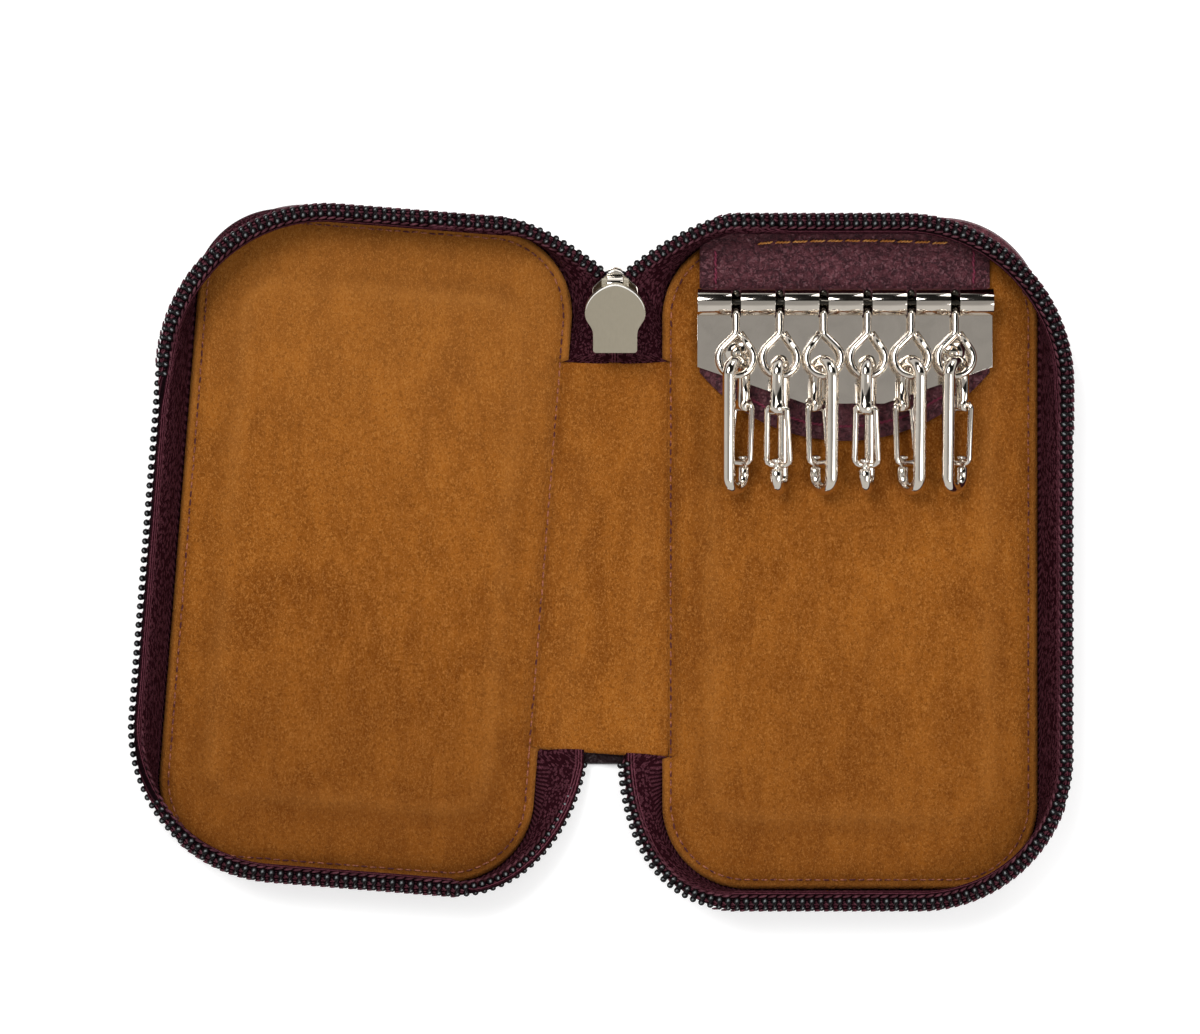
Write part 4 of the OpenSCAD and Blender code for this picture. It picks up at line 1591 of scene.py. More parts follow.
@dataclass(frozen=True)
class ChainShow:
    """How much of the coil shows: cloth edge, underlay edge and how deep it sits."""

    width: float
    lip: float
    sink: float

    def toward(self, other: "ChainShow", t: float) -> "ChainShow":
        """Mix of two of these, with the share held between 0 and 1."""
        t = max(0.0, min(1.0, t))
        return ChainShow(
            lerp(self.width, other.width, t),
            lerp(self.lip, other.lip, t),
            lerp(self.sink, other.sink, t),
        )


@dataclass(frozen=True)
class TapeLook:
    """How one tape lies: the coil's look from lead to lead, and the low lead's bend."""

    top_lead: ChainShow
    top: ChainShow
    wall: ChainShow
    low: ChainShow
    low_lead: ChainShow
    low_haste: float
    low_bend: float
    low_drop: float


LOOKS = {
    Side.LEFT: TapeLook(
        ChainShow(1.5, 0.45, 0.7),
        ChainShow(2.3, 0.05, 0.0),
        ChainShow(1.25, 1.1, 1.95),
        ChainShow(2.2, 0.1, 0.0),
        ChainShow(0.6, 0.5, 1.3),
        low_haste=8.0,
        low_bend=3.3,
        low_drop=2.0,
    ),
    Side.RIGHT: TapeLook(
        ChainShow(1.5, 0.45, 0.7),
        ChainShow(2.4, 0.05, 0.0),
        ChainShow(1.6, 0.2, 0.8),
        ChainShow(2.3, 0.1, 0.0),
        ChainShow(1.4, 0.95, 0.7),
        low_haste=3.5,
        low_bend=4.0,
        low_drop=1.35,
    ),
}


@dataclass(frozen=True)
class CoilTurn:
    """One turn of the coil, whose head points along +Y, and the threads that hold it."""

    upper: tuple[tuple[float, float, float, float], ...] = (
        (0.16, -2.02, -0.10, 0.22),
        (0.14, -1.86, 0.02, 0.48),
        (0.10, -1.54, 0.10, 0.64),
        (0.06, -1.20, 0.04, 0.52),
        (0.03, -0.96, -0.04, 0.36),
        (0.01, -0.72, 0.04, 0.46),
        (0.00, -0.44, 0.05, 0.52),
        (-0.02, -0.18, 0.00, 0.42),
        (-0.03, -0.04, -0.04, 0.18),
    )
    lower: tuple[tuple[float, float, float, float], ...] = (
        (-0.04, -0.16, -0.34, 0.18),
        (-0.12, -0.9, -0.40, 0.26),
        (-0.24, -1.8, -0.36, 0.22),
    )
    glints: tuple[Pair, ...] = ((-1.54, 0.6), (-0.44, 0.45))
    glint_reach: float = 0.1
    held_rows: tuple[Triple, ...] = (
        (-2.20, 0.14, 0.06),
        (-0.98, -0.26, -0.10),
    )
    rim_rows: tuple[Triple, ...] = ((-0.10, 0.12, -0.20),)
    thread_reach: float = 0.62
    thread_arch: float = 0.16
    thread_radii: tuple[float, ...] = (0.10, 0.19, 0.19, 0.10)

    def coil(self) -> bpy.types.Mesh:
        """Makes the upper leg with its bead and head, and the lower leg."""
        bm = bmesh.new()
        for leg, sides in ((self.upper, 8), (self.lower, 6)):
            tube(bm, [Vector(p[:3]) for p in leg], [p[3] for p in leg], sides)
        # Marks each bead's top point, where the finish paints a highlight.
        glint = bm.verts.layers.float.new("glint")
        for vert in bm.verts:
            y, z = vert.co.y, vert.co.z
            lit = any(abs(y - at) < self.glint_reach and z > low for at, low in self.glints)
            vert[glint] = 1.0 if lit else 0.0
        return as_mesh("coil_turn", bm)

    def sewing(self, rows: Sequence[Triple]) -> bpy.types.Mesh:
        """Makes threads across one turn.

        Args:
            rows: each thread's place behind the head, its lean and its level.

        Returns:
            The threads' mesh.
        """
        bm = bmesh.new()
        last = len(self.thread_radii) - 1
        reach = self.thread_reach
        for offset, lean, rise in rows:
            points = []
            for i in range(last + 1):
                t = i / last
                arch = rise + self.thread_arch * math.sin(math.pi * t)
                points.append(
                    Vector((lerp(-reach, reach, t), offset + lerp(-lean, lean, t), arch))
                )
            tube(bm, points, self.thread_radii, 5)
        return as_mesh("coil_sewing", bm)


@dataclass
class ZipStation:
    """One place along a zip tape."""

    tip: Vector
    face: Vector
    base: Vector
    show: ChainShow
    run: float = 0.0
    hidden: bool = False


@dataclass
class ZipTape:
    """One side of the zip: tape, coil teeth and their sewing."""

    side: Side
    lead_steps: int = 36
    lead_parts: int = 13
    corner_parts: int = 10
    lead_reach: float = 0.861
    cover_step: float = 1.0
    lead_shares: float = 0.15
    top_bend: float = 2.1
    top_haste: float = 3.5
    nose_x: float = 0.75
    nose_out: float = 2.6
    nose_past: float = 1.75
    joined_x: float = -0.04
    joined_y: float = 0.1
    joined_rise: float = 0.9
    joined_rise_ends: Pair = (0.45, 0.62)
    closing: float = 1.5
    slider_show: ChainShow = ChainShow(1.2, 0.0, 0.7)
    slider_haste: float = 5.0
    slider_from: float = 0.78
    end_x: float = -0.805
    end_y: float = -31.3
    end_z: float = 3.1
    end_half: float = 2.3
    end_pull: float = 0.23
    end_pull_z: float = 6.78
    tuck_steps: int = 4
    tuck_top: float = 29.6
    tuck_low: float = 27.9
    tuck_tip_z: float = 1.55
    tuck_base_z: float = 1.30
    tuck_spread: float = 1.9
    tape_half: float = 0.26
    thin_share: float = 0.6
    outside_tilt: float = 0.6
    tape_steps: int = 9
    hem: float = 0.9
    hem_z: float = 2.2
    hem_drop: float = 0.1
    edge_proud: float = -0.36
    edge_sunk: float = 0.04
    foot_rise: float = 0.42
    foot_out: float = 0.12
    head_back: float = 0.9
    head_lean: float = 0.25
    head_dip: float = 0.18
    least_lip: float = 0.06
    lip_fold: float = 0.3
    lip_drop: float = 0.45
    flat_lip_sink: float = 1.1
    plain_from: float = 28.0
    plain_to: float = 20.0
    plain_ribs: float = 2.2
    plain_cords: float = 2.0
    coil_sink: float = 0.40
    rim_lip: float = 0.4
    rim_width: float = 1.7
    rim_from: float = 16.0
    beside_tab: float = 0.8
    sewing_shift: float = 0.4

    @property
    def look(self) -> TapeLook:
        """How this tape lies."""
        return LOOKS[self.side]

    def lead_curve(self, top: bool) -> list[Vector]:
        """Control points of the tooth tips from the cover to the spine.

        Args:
            top: True for the lead beside the slider.

        Returns:
            The four points.
        """
        s, side = SIZES, self.side
        path = s.tip_path(side)
        x, y = path.fold + path.fold_radius, path.half
        v = 1 if top else -1
        start = s.on_cover(Vector((x, v * y, s.tip_z)), side)
        bend = (self.top_bend if top else self.look.low_bend) * self.lead_shares * x
        first = s.on_cover(Vector((x - bend, v * y, s.tip_z)), side)
        out = side.value
        if top:
            finish = s.stub_point(out * self.nose_x, s.lead_nose, 0)
            before = s.stub_point(out * self.nose_out, s.lead_nose + self.nose_past, 0)
        else:
            finish = Vector((self.end_x + out * self.end_half, self.end_y, self.end_z))
            before = Vector(
                (
                    self.end_x + out * self.look.low_drop * self.end_half,
                    self.end_y - self.end_pull * y,
                    self.end_pull_z,
                )
            )
        return [start, first, before, finish]

    def lead_face(self, curve: Sequence[Vector], t: float, top: bool) -> Vector:
        """Direction in which a lead's teeth point.

        Args:
            curve: the lead's control points.
            t: share along it.
            top: True for the lead beside the slider.

        Returns:
            The direction.
        """
        near = 0.01
        a, b = bezier(curve, max(0, t - near)), bezier(curve, min(1, t + near))
        h = Vector((b.x - a.x, b.y - a.y, 0)).normalized()
        turn = -self.side.value * (1 if top else -1)
        face = Vector((-h.y * turn, h.x * turn, 0))
        if top:
            face.z = face.y * math.tan(math.radians(SIZES.stub_rise)) * t
        return face.normalized()

    def lead_base(self, share: float, top: bool) -> Vector:
        """Point at the suede's edge that a share of a lead is sewn to.

        Args:
            share: share along the lead, from the cover.
            top: True for the lead beside the slider.

        Returns:
            The point.
        """
        s = SIZES
        i = share * self.lead_parts
        v = 1 if top else -1
        if i <= self.corner_parts:
            p = s.lining_path.point(0, 1, 90 + 90 / self.corner_parts * i, s.tape_out)
        else:
            down = (i - self.corner_parts) / (self.lead_parts - self.corner_parts)
            p = s.lining_path.point(0, lerp(1, self.lead_reach, down), 180, s.tape_out)
        return s.on_cover(Vector((p.x, v * p.y, s.tape_z)), self.side)

    def joined_tip(self, share: float) -> Vector:
        """Tooth tip of the top lead where it runs down through the slider."""
        s = SIZES
        down = share * self.lead_parts - self.corner_parts
        down = down / (self.lead_parts - self.corner_parts)
        return s.stub_point(
            self.side.value * lerp(self.nose_x, self.joined_x, min(1.0, down * self.closing)),
            lerp(s.lead_nose, self.joined_y, down),
            lerp(0.0, self.joined_rise, smooth(*self.joined_rise_ends, down)),
        )

    def lead(self, top: bool) -> list[ZipStation]:
        """Stations of one lead, from its cover to the spine.

        Args:
            top: True for the lead beside the slider.

        Returns:
            The stations in order.
        """
        curve = self.lead_curve(top)
        look = self.look
        stretch = self.lead_parts / self.corner_parts if top else 1.0
        out = []
        for k in range(1, self.lead_steps + 1):
            share = k / self.lead_steps
            t = min(1.0, share * stretch)
            tip, face = bezier(curve, t), self.lead_face(curve, t, top)
            if top:
                if share > 1 / stretch:
                    tip = self.joined_tip(share)
                    face = Vector((-self.side.value, 0, 0))
                show = look.top.toward(look.top_lead, self.top_haste * share)
                near = self.slider_haste * (share - self.slider_from)
                show = show.toward(self.slider_show, near)
            else:
                show = look.low.toward(look.low_lead, look.low_haste * share)
            out.append(ZipStation(tip, face, self.lead_base(share, top), show))
        return out + self.tucked(out[-1], top)

    def tucked(self, last: ZipStation, top: bool) -> list[ZipStation]:
        """Stations that carry a lead's end under the spine's suede.

        Args:
            last: the lead's last station in view.
            top: True for the lead beside the slider.

        Returns:
            The stations in order.
        """
        out = []
        end_y = self.tuck_top if top else -self.tuck_low
        for k in range(1, self.tuck_steps + 1):
            t = k / self.tuck_steps
            tip, base = last.tip.copy(), last.base.copy()
            tip.y = lerp(last.tip.y, end_y, t)
            base.y = lerp(last.base.y, end_y, t)
            tip.z = lerp(last.tip.z, self.tuck_tip_z, smooth(0.0, 0.75, t))
            base.z = lerp(last.base.z, self.tuck_base_z, smooth(0.0, 0.75, t))
            base.x += self.side.value * self.tuck_spread * smooth(0.0, 0.5, t)
            out.append(ZipStation(tip, last.face, base, last.show, hidden=True))
        return out

    def round_cover(self) -> list[ZipStation]:
        """Stations round the cover, from its top on the fold side to its bottom."""
        s, look = SIZES, self.look
        path = s.tip_path(self.side)
        run = path.outer - path.outer_radius - path.fold - path.fold_radius
        corner = math.pi / 2 * path.outer_radius
        side_run = 2 * (path.half - path.outer_radius)
        legs = (
            (run, (0, 1), (1, 1), (90, 90), look.top, look.top, (0, 0)),
            (corner, (1, 1), (1, 1), (90, 0), look.top, look.wall, (-0.5, 0.8)),
            (side_run, (1, 1), (1, -1), (0, 0), look.top, look.wall, (0.3, 5)),
            (corner, (1, 1), (-1, -1), (0, -90), look.wall, look.low, (-0.1, 1.4)),
            (run, (1, 0), (-1, -1), (-90, -90), look.low, look.low, (0, 0)),
        )
        made = []
        for length, us, vs, angles, near, far, (begin, rate) in legs:
            steps = max(2, round(length / self.cover_step))
            for i in range(1 if made else 0, steps + 1):
                t = i / steps
                u, v, a = lerp(*us, t), lerp(*vs, t), lerp(*angles, t)
                tip = path.point(u, v, a)
                tip.z = s.tip_z
                base = s.lining_path.point(u, v, a, s.tape_out)
                base.z = s.tape_z
                turn = math.radians(a)
                face = Vector((math.cos(turn), math.sin(turn), 0))
                made.append(
                    ZipStation(
                        s.on_cover(tip, self.side),
                        s.turned(face, self.side).normalized(),
                        s.on_cover(base, self.side),
                        near.toward(far, begin + rate * t),
                    )
                )
        return made

    def stations(self) -> list[ZipStation]:
        """Stations from the slider round the cover to the far end."""
        out = list(reversed(self.lead(True))) + self.round_cover() + self.lead(False)
        run = 0.0
        for i, station in enumerate(out):
            if i:
                run += (station.tip - out[i - 1].tip).length
            station.run = run
        return out

    def place(self, piece: Piece, *nodes: str) -> Piece:
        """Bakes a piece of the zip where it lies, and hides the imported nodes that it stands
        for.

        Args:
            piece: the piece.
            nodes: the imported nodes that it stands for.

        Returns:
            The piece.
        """
        f"{self.side.label}_cover"
        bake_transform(piece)
        if nodes:
            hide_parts(*nodes)
        return piece

    def section(self, station: ZipStation) -> list[Vector]:
        """Line of the tape across a station.

        Args:
            station: the place along the tape.

        Returns:
            Its points, from the hem under the suede up to the teeth.
        """
        show, face, base = station.show, station.face, station.base
        edge = station.tip - face * show.width
        edge.z += lerp(self.edge_proud, self.edge_sunk, show.sink)
        tuck = base - face * self.hem
        tuck.z = min(tuck.z, self.hem_z) - self.hem_drop
        rise = edge.z - base.z
        away = edge - base
        back = self.head_back + self.head_lean * max(0, away.dot(face))
        flat = Vector((away.x, away.y, 0))
        curve = [
            base,
            base + Vector((0, 0, self.foot_rise * rise)) + flat * self.foot_out,
            edge - face * back - Vector((0, 0, self.head_dip * rise)),
            edge,
        ]
        steps = self.tape_steps
        line = [tuck] + [bezier(curve, i / steps) for i in range(steps + 1)]
        room = max(self.least_lip, show.width - show.lip)
        down = 0.0 if show.sink > self.flat_lip_sink else self.lip_drop * show.sink
        line.append(edge + face * min(self.lip_fold, room / 2) - Vector((0, 0, down)))
        line.append(edge + face * room - Vector((0, 0, down)))
        return line

    def tape(self, stations: Sequence[ZipStation]) -> Piece:
        """Makes the woven tape from under the suede up to the teeth.

        Args:
            stations: the places along the tape.

        Returns:
            The tape, whose points carry their distances for the weave.
        """
        bm = bmesh.new()
        rings, marks = [], []
        for station in stations:
            line = self.section(station)
            plain = 0.0
            if station.tip.y > 0:
                plain = smooth(self.plain_from, self.plain_to, abs(station.tip.x))
            widths = [0.0]
            for a, b in zip(line, line[1:]):
                widths.append(widths[-1] + (b - a).length)
            upper, lower, mark_up = [], [], []
            for i, p in enumerate(line):
                ahead = line[min(i + 1, len(line) - 1)] - line[max(i - 1, 0)]
                along = Vector((0, 0, 1)).cross(station.face)
                normal = ahead.cross(along)
                if normal.length < 1e-6:
                    normal = Vector((0, 0, 1))
                normal.normalize()
                if normal.dot(Vector((0, 0, 1)) - station.face * self.outside_tilt) < 0:
                    normal.negate()
                thin = i in (0, len(line) - 1) or station.hidden
                half = self.tape_half * (self.thin_share if thin else 1.0)
                upper.append(p + normal * half)
                lower.append(p - normal * half)
                across = widths[i] - widths[1] + self.plain_ribs * plain
                beyond = widths[i] - widths[-3] - self.plain_cords * plain
                mark_up.append((station.run, across, beyond))
            rings.append(upper + lower[::-1])
            marks.append(mark_up + mark_up[::-1])
        loft(bm, rings, marks)
        piece = make_piece(f"{self.side.label}_zip_tape", bm, TAPE.material())
        return self.place(
            piece,
            f"{self.side.label}_tape",
            f"{self.side.label}_top_lead_tape",
            f"{self.side.label}_bottom_lead_tape",
        )

    def spots(self, stations: Sequence[ZipStation]) -> list[tuple[Matrix, bool]]:
        """Even places along the tooth tips.

        Args:
            stations: the places along the tape.

        Returns:
            Each turn's place, with whether cloth reaches its tip.
        """
        shown = [p for p in stations if not self.hidden(p)]
        total = shown[-1].run - shown[0].run
        count = round(total / SIZES.tooth_pitch)
        step = total / count
        out, k = [], 0
        for i in range(count + 1):
            want = shown[0].run + i * step
            while k < len(shown) - 2 and shown[k + 1].run < want:
                k += 1
            a, b = shown[k], shown[k + 1]
            t = max(0.0, min(1.0, (want - a.run) / max(1e-9, b.run - a.run)))
            tip, face = a.tip.lerp(b.tip, t), a.face.lerp(b.face, t).normalized()
            tip.z -= self.coil_sink * a.show.sink
            ahead = b.tip - a.tip
            ahead = (ahead - face * ahead.dot(face)).normalized()
            up = ahead.cross(face)
            if up.z < 0:
                up.negate()
            ahead = face.cross(up)
            rimmed = a.show.lip < self.rim_lip and a.show.width > self.rim_width
            rimmed = rimmed and abs(tip.x) > self.rim_from
            out.append((frame_matrix(tip, ahead, face, up), rimmed))
        return out

    def hidden(self, station: ZipStation) -> bool:
        """True where the tape runs inside the slider or beside the tab."""
        beside = abs(station.tip.x - SIZES.slider_x) < self.beside_tab and station.tip.y > 0
        return station.hidden or beside

    def build(self) -> list[Piece]:
        """Makes the tape, the coil and the sewing."""
        name = self.side.label
        stations = self.stations()
        made = [self.tape(stations)]
        turn = CoilTurn()
        coil, held, rim = turn.coil(), turn.sewing(turn.held_rows), turn.sewing(turn.rim_rows)
        teeth, threads = bmesh.new(), bmesh.new()
        teeth.verts.layers.float.new("glint")
        for spot, rimmed in self.spots(stations):
            stamp(teeth, coil, spot)
            between = spot @ Matrix.Translation((self.sewing_shift, 0, 0))
            stamp(threads, held, between)
            if rimmed:
                stamp(threads, rim, between)
        chain = make_piece(f"{name}_zip_coil", teeth, COIL.material())
        made.append(
            self.place(
                chain, f"{name}_teeth", f"{name}_top_lead_teeth", f"{name}_bottom_lead_teeth"
            )
        )
        seam = make_piece(f"{name}_zip_sewing", threads, ZIP_THREAD.material())
        made.append(self.place(seam))
        for used in (coil, held, rim):
            bpy.data.meshes.remove(used)
        return made


@dataclass
class JoinedZipEnd:
    """The closed teeth between the spine and the slider."""

    length: float = 6.4
    start: float = 0.5
    left_shift: float = 0.25
    right_shift: float = 0.75
    closeness: float = 0.86
    apart: float = 0.12
    drop: float = 0.05

    def build(self) -> list[Piece]:
        """Makes the two meshed rows of teeth."""
        made = []
        rise = math.radians(SIZES.stub_rise)
        ahead = Vector((0, math.cos(rise), math.sin(rise)))
        up = Vector((0, -math.sin(rise), math.cos(rise)))
        for side in Side:
            bm = bmesh.new()
            bm.verts.layers.float.new("glint")
            pattern = CoilTurn().coil()
            face = Vector((-side.value, 0, 0))
            shift = self.left_shift if side is Side.LEFT else self.right_shift
            for i in range(int(self.length / SIZES.tooth_pitch) + 1):
                y = self.start + (i + shift) * SIZES.tooth_pitch * self.closeness
                spot = SIZES.stub_point(-side.value * self.apart, y, -self.drop)
                stamp(bm, pattern, frame_matrix(spot, ahead, face, up))
            bmesh.ops.recalc_face_normals(bm, faces=bm.faces)
            bpy.data.meshes.remove(pattern)
            piece = make_piece(f"{side.label}_joined_coil", bm, COIL.material())
            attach(piece, "zip_end")
            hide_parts(f"{side.label}_stub_teeth")
            made.append(piece)
        return made


# Metal


@dataclass
class MetalCopy:
    """A finer copy of a packed metal node, welded, eased and smoothed."""

    node: str
    name: str
    body: str
    finish: Finish = NICKEL
    slot: str = "bright_nickel"
    ease: float = 0.0
    sharp: float = 38.0
    slot_shade: Pair | None = None
    flat_area: float = 5.0
    weld: float = 0.002
    one_plane: float = 0.4

    def welded(self, nodes: Nodes) -> BMesh:
        """Copies the node's mesh in millimetres, with its flat faces whole if it is eased.

        Args:
            nodes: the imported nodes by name.

        Returns:
            The copy.
        """
        bm = bmesh.new()
        bm.from_mesh(nodes[self.node].data)
        bmesh.ops.remove_doubles(bm, verts=bm.verts, dist=self.weld * MM)
        bmesh.ops.scale(bm, vec=(1 / MM, 1 / MM, 1 / MM), verts=bm.verts)
        if self.ease:
            limit = math.radians(self.one_plane)
            bmesh.ops.dissolve_limit(bm, angle_limit=limit, verts=bm.verts, edges=bm.edges)
        return bm

    def build(self, nodes: Nodes) -> Piece:
        """Makes the copy.

        Args:
            nodes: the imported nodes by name.

        Returns:
            The piece that stands for the node.
        """
        bm = self.welded(nodes)
        if self.ease:
            edges = [
                e
                for e in bm.edges
                if len(e.link_faces) == 2 and e.calc_face_angle() > math.radians(self.sharp)
            ]
            bmesh.ops.bevel(
                bm,
                geom=edges,
                offset=self.ease,
                offset_type="OFFSET",
                segments=3,
                profile=0.5,
                affect="EDGES",
                material=-1,
                clamp_overlap=True,
            )
        # Painted shade: the part is darkened along y where it lies inside the barrel's slots.
        if self.slot_shade:
            layer = bm.verts.layers.float.new("slot_shade")
            for vert in bm.verts:
                vert[layer] = smooth(*self.slot_shade, vert.co.y)
        piece = make_piece(self.name, bm, self.finish.material())
        piece.data.set_sharp_from_angle(angle=math.radians(self.sharp))
        if self.ease:
            for face in piece.data.polygons:
                if face.area > self.flat_area * MM * MM:
                    face.use_smooth = False
        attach(piece, self.body)
        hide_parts(self.node)
        return piece


@dataclass
class KeyRow:
    """The key plate with its rod, rivets, hangers, hooks and gates."""

    hooks: int = 6
    rod_slots: Pair = (30.0, 31.0)
    hanger_slots: Pair = (38.4, 39.4)
    patch_top_from: float = 47.0
    patch_stretch: float = 0.9
    patch_half: float = 22.2
    patch_sag: float = 10.5
    patch_low: float = 18.5
    side_seam_high: float = 47.7
    side_seam_low: float = 42.4
    low_seam_inset: float = 2.2
    low_seam_turn: float = 46.0
    low_seam_steps: int = 40
    top_seam_y: float = 49.15
    top_seam_bow: float = 0.0022
    top_seam_mid: float = 37.5
    top_seam_ends: Pair = (22.8, 52.2)
    top_seam_steps: int = 20
    seam_lift: float = 0.10

    def copies(self) -> list[MetalCopy]:
        """Lists the metal pieces of the key row."""
        made = [
            MetalCopy("key_plate", "polished_key_plate", "right_cover", ease=0.12),
            MetalCopy("key_rod", "polished_key_rod", "right_cover", slot_shade=self.rod_slots),
            MetalCopy("left_rivet", "left_domed_rivet", "right_cover", sharp=50),
            MetalCopy("right_rivet", "right_domed_rivet", "right_cover", sharp=50),
        ]
        for k in range(1, self.hooks + 1):
            hanger = f"hanger_{k}"
            made.append(
                MetalCopy(hanger, f"wire_hanger_{k}", hanger, slot_shade=self.hanger_slots)
            )
            made.append(MetalCopy(f"hook_{k}", f"snap_hook_{k}", f"hook_{k}", sharp=60))
            made.append(MetalCopy(f"gate_{k}", f"wire_gate_{k}", f"gate_{k}"))
        return made

    def patch(self, nodes: Nodes) -> Piece:
        """Makes the leather patch under the plate, up to the tape."""
        piece = MetalCopy(
            "key_patch",
            "key_patch_leather",
            "right_cover",
            LEATHER,
            "patch_leather",
            ease=0.3,
            sharp=30,
        ).build(nodes)
        for vert in piece.data.vertices:
            if vert.co.y > self.patch_top_from * MM:
                vert.co.y += self.patch_stretch * MM
        return piece

    def seam_lines(self) -> dict[str, list[Vector]]:
        """The patch's rows of stitches by name, on its top."""
        top = SIZES.patch_top
        lines = {}
        for name, high_x, low_x in (("left", 16.5, 16.6), ("right", 56.0, 56.1)):
            lines[f"patch_{name}_seam"] = [
                Vector((high_x, self.side_seam_high, top)),
                Vector((low_x, self.side_seam_low, top)),
            ]
        half, sag = self.patch_half, self.patch_sag
        r = (half * half + sag * sag) / (2 * sag)
        inner = r - self.low_seam_inset
        low = []
        for i in range(self.low_seam_steps + 1):
            turn = self.low_seam_turn
            a = math.radians(-turn + 2 * turn * i / self.low_seam_steps)
            x = SIZES.plate_mid + inner * math.sin(a)
            low.append(Vector((x, self.patch_low + r - inner * math.cos(a), top)))
        lines["patch_low_seam"] = low
        arc = []
        for i in range(self.top_seam_steps + 1):
            x = lerp(*self.top_seam_ends, i / self.top_seam_steps)
            y = self.top_seam_y - self.top_seam_bow * (x - self.top_seam_mid) ** 2
            arc.append(Vector((x, y, top)))
        lines["patch_top_seam"] = arc
        return lines

    def seams(self) -> list[Piece]:
        """Makes the patch's stitches, orange at the top and raspberry elsewhere."""
        made = []
        for name, points in self.seam_lines().items():
            seam = Seam(name, points, lift=self.seam_lift)
            if name == "patch_top_seam":
                seam.finish, seam.strands = ORANGE, 4
                seam.pitch, seam.stitch, seam.radius = 2.8, 2.1, 0.14
            else:
                seam.finish, seam.strands = RASPBERRY, 3
                seam.pitch, seam.stitch, seam.radius = 2.2, 2.3, 0.17
            piece = seam.build()
            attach(piece, "right_cover")
            made.append(piece)
        return made

    def build(self, nodes: Nodes) -> list[Piece]:
        """Makes the whole key row."""
        made = [copy.build(nodes) for copy in self.copies()]
        made.append(self.patch(nodes))
        return made + self.seams()


@dataclass
class SliderAndTab:
    """The zip's slider and its pull tab."""

    edge_from: float = 37.9
    edge_radius: float = 0.13
    edge_inset: float = 0.02
    edge_end: float = 0.25
    edge_swell: float = 0.75

    def bevel_highlight(self, tab: MetalCopy, nodes: Nodes) -> Piece:
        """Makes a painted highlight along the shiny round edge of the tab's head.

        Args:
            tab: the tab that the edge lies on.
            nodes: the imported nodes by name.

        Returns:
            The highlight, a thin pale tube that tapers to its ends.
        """
        bm = tab.welded(nodes)
        tops = [face for face in bm.faces if face.normal.z > 0.9]
        top = max(tops, key=lambda face: face.calc_area())
        middle = top.calc_center_median()
        head = [
            vert.co.lerp(middle, self.edge_inset)
            for vert in top.verts
            if vert.co.y > self.edge_from
        ]
        head.sort(key=lambda p: p.x)
        bm.free()
        last = len(head) - 1
        radii = []
        for i in range(last + 1):
            full = self.edge_end + self.edge_swell * math.sin(math.pi * i / last)
            radii.append(self.edge_radius * full)
        edge = bmesh.new()
        tube(edge, head, radii, 8)
        piece = make_piece("pull_tab_bright_edge", edge, HIGHLIGHT_NICKEL.material())
        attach(piece, tab.body)
        return piece

    def build(self, nodes: Nodes) -> list[Piece]:
        """Makes the slider body, and the tab with a painted highlight on its edge."""
        tab = MetalCopy(
            "pull_tab", "onion_pull_tab", "pull_tab", SATIN, "satin_nickel", ease=0.32
        )
        return [
            MetalCopy("slider_body", "slider_casting", "slider", ease=0.22).build(nodes),
            tab.build(nodes),
            self.bevel_highlight(tab, nodes),
        ]


# Studio


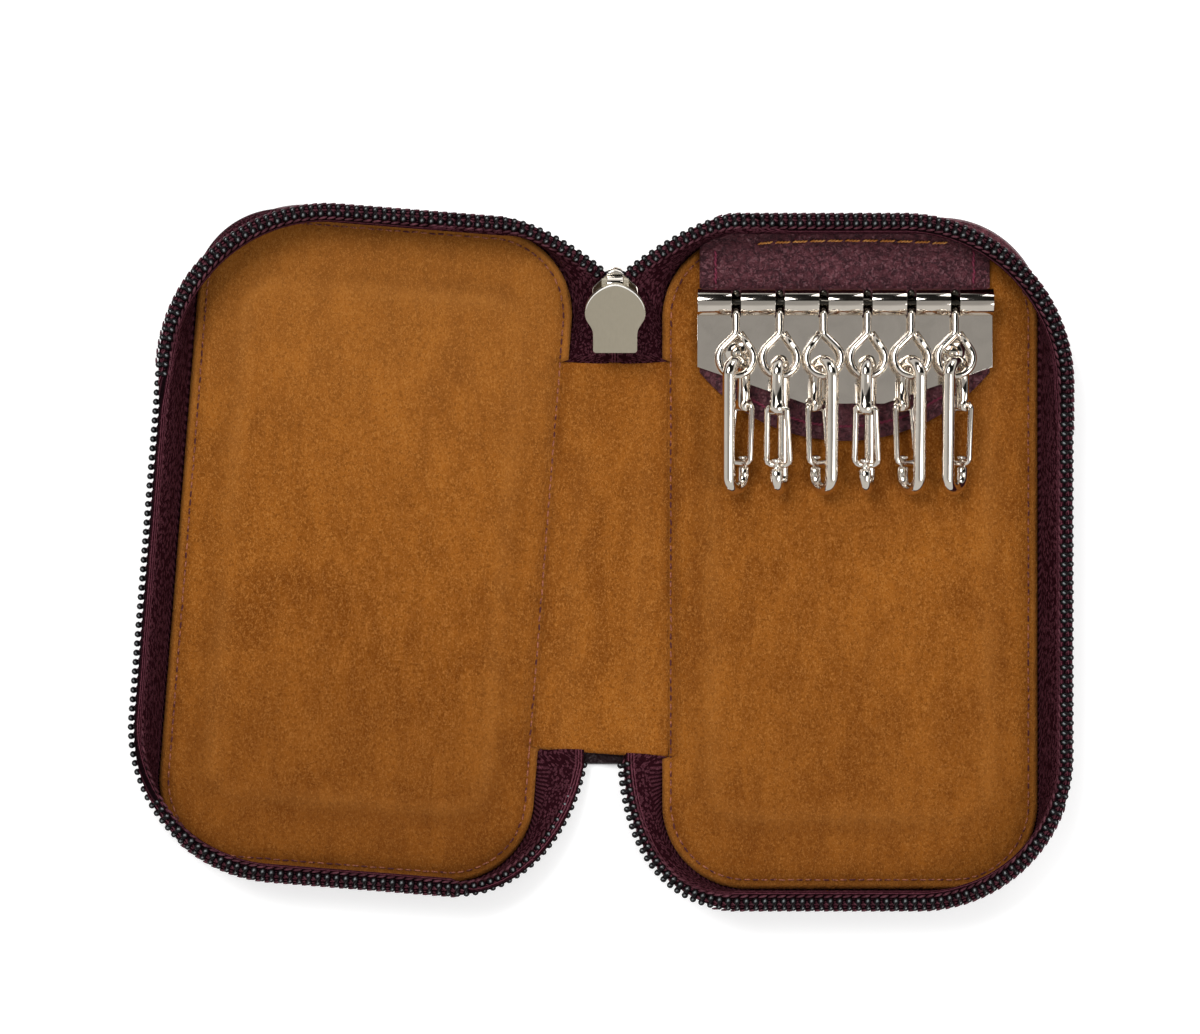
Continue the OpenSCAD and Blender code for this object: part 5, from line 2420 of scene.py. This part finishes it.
@dataclass
class Studio:
    """Pale floor, soft lamps and the camera above the open case."""

    centre: Pair = (-1.15, 6.85)
    height: float = 800.0
    field_of_view: float = 184.6
    sensor: float = 36.0
    floor: float = 3.0
    floor_drop: float = 0.02

    def camera(self) -> None:
        """Makes the camera straight above the case."""
        data = bpy.data.cameras.new("above")
        data.sensor_width = self.sensor
        data.lens = self.sensor * self.height / self.field_of_view
        data.clip_start = 0.01
        camera = bpy.data.objects.new("above", data)
        camera.location = (self.centre[0] * MM, self.centre[1] * MM, self.height * MM)
        bpy.context.scene.collection.objects.link(camera)
        bpy.context.scene.camera = camera

    def lamp(
        self,
        name: str,
        place: Triple,
        size: Pair,
        power: float,
    ) -> None:
        """Adds a soft box that shines at the case.

        Args:
            name: the lamp's name.
            place: where it stands, in metres.
            size: its width and height, in metres.
            power: its power in watts.
        """
        data = bpy.data.lights.new(name, "AREA")
        data.shape = "RECTANGLE"
        data.size, data.size_y = size
        data.energy = power
        lamp = bpy.data.objects.new(name, data)
        lamp.location = place
        lamp.rotation_euler = (-Vector(place)).to_track_quat("-Z", "Y").to_euler()
        bpy.context.scene.collection.objects.link(lamp)

    def backdrop(self) -> None:
        """Makes the pale floor, which the camera and shiny surfaces see a little brighter."""
        bm = bmesh.new()
        bmesh.ops.create_grid(bm, x_segments=1, y_segments=1, size=self.floor / MM)
        material = bpy.data.materials.new("pale floor")
        material.use_nodes = True
        tree = Tree(material.node_tree)
        shader = material.node_tree.nodes["Principled BSDF"]
        Finish.tune(shader, Base_Color=(0.86, 0.86, 0.86, 1), Roughness=0.9)
        path = tree.node("ShaderNodeLightPath").outputs
        unlit = tree.math("MAXIMUM", path["Is Glossy Ray"], path["Is Transmission Ray"])
        shows = tree.math("MAXIMUM", path["Is Camera Ray"], unlit)
        white = tree.node("ShaderNodeEmission", in_Strength=0.35)
        blend = tree.node("ShaderNodeAddShader")
        mix = tree.node("ShaderNodeMixShader")
        tree.link(shader.outputs[0], blend.inputs[0])
        tree.link(white.outputs[0], blend.inputs[1])
        tree.link(shows, mix.inputs[0])
        tree.link(shader.outputs[0], mix.inputs[1])
        tree.link(blend.outputs[0], mix.inputs[2])
        output = material.node_tree.nodes["Material Output"]
        tree.link(mix.outputs[0], output.inputs["Surface"])
        floor = make_piece("pale_floor", bm, material)
        floor.location.z = -self.floor_drop * MM

    def world(self) -> None:
        """Makes the soft room round the case, with a dark card that shiny surfaces see."""
        world = bpy.data.worlds.new("studio")
        bpy.context.scene.world = world
        world.use_nodes = True
        tree = Tree(world.node_tree)
        back = world.node_tree.nodes["Background"]
        where = tree.node("ShaderNodeTexCoord")
        parts = tree.node("ShaderNodeSeparateXYZ")
        tree.link(where.outputs["Generated"], parts.inputs[0])
        north, upward = parts.outputs[1], parts.outputs[2]
        rise = tree.ramp(upward, 0.15, 0.95)
        room = tree.mix(rise, (0.30, 0.29, 0.28), (0.80, 0.80, 0.80))
        path = tree.node("ShaderNodeLightPath")
        above = tree.ramp(upward, 0.72, 0.93)
        shiny = tree.mix(above, (0.85, 0.84, 0.82), (0.46, 0.45, 0.435))
        card = tree.share(tree.ramp(north, 0.060, 0.12), tree.ramp(upward, 0.30, 0.50))
        carded = tree.mix(card, shiny, (0.012, 0.011, 0.010))
        tree.link(tree.mix(path.outputs["Is Glossy Ray"], room, carded), back.inputs["Color"])
        back.inputs["Strength"].default_value = 0.75

    def build(self) -> None:
        """Makes the whole studio."""
        bpy.context.scene.view_settings.view_transform = "Standard"
        self.camera()
        self.backdrop()
        self.world()
        self.lamp("key_soft_box", (-0.36, 0.44, 0.95), (0.50, 0.50), 7.4)
        self.lamp("fill_soft_box", (0.60, -0.30, 0.85), (0.40, 0.40), 4.0)
        self.lamp("rim_soft_box", (0.42, 0.80, 0.50), (0.40, 0.40), 1.6)


def dress_hidden_nodes(nodes: Nodes) -> None:
    """Gives the boards inside the covers their finish."""
    for name in ("left_board", "right_board"):
        data = nodes[name].data
        data.materials.clear()
        data.materials.append(BOARD.material())


def main() -> None:
    """Builds the scene piece by piece and reports each one."""
    logging.basicConfig(level=logging.INFO, format="%(name)s: %(message)s")
    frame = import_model()
    nodes = frame["nodes"]
    Studio().build()
    made: list[Piece] = []
    made += SuedeLining().build()
    made += OuterLeather().build()
    for side in Side:
        made += ZipTape(side).build()
    made += JoinedZipEnd().build()
    made += SliderAndTab().build(nodes)
    made += KeyRow().build(nodes)
    dress_hidden_nodes(nodes)
    for piece in made:
        LOG.info("%s: %d faces", piece.name, len(piece.data.polygons))


if __name__ == "__main__":
    main()
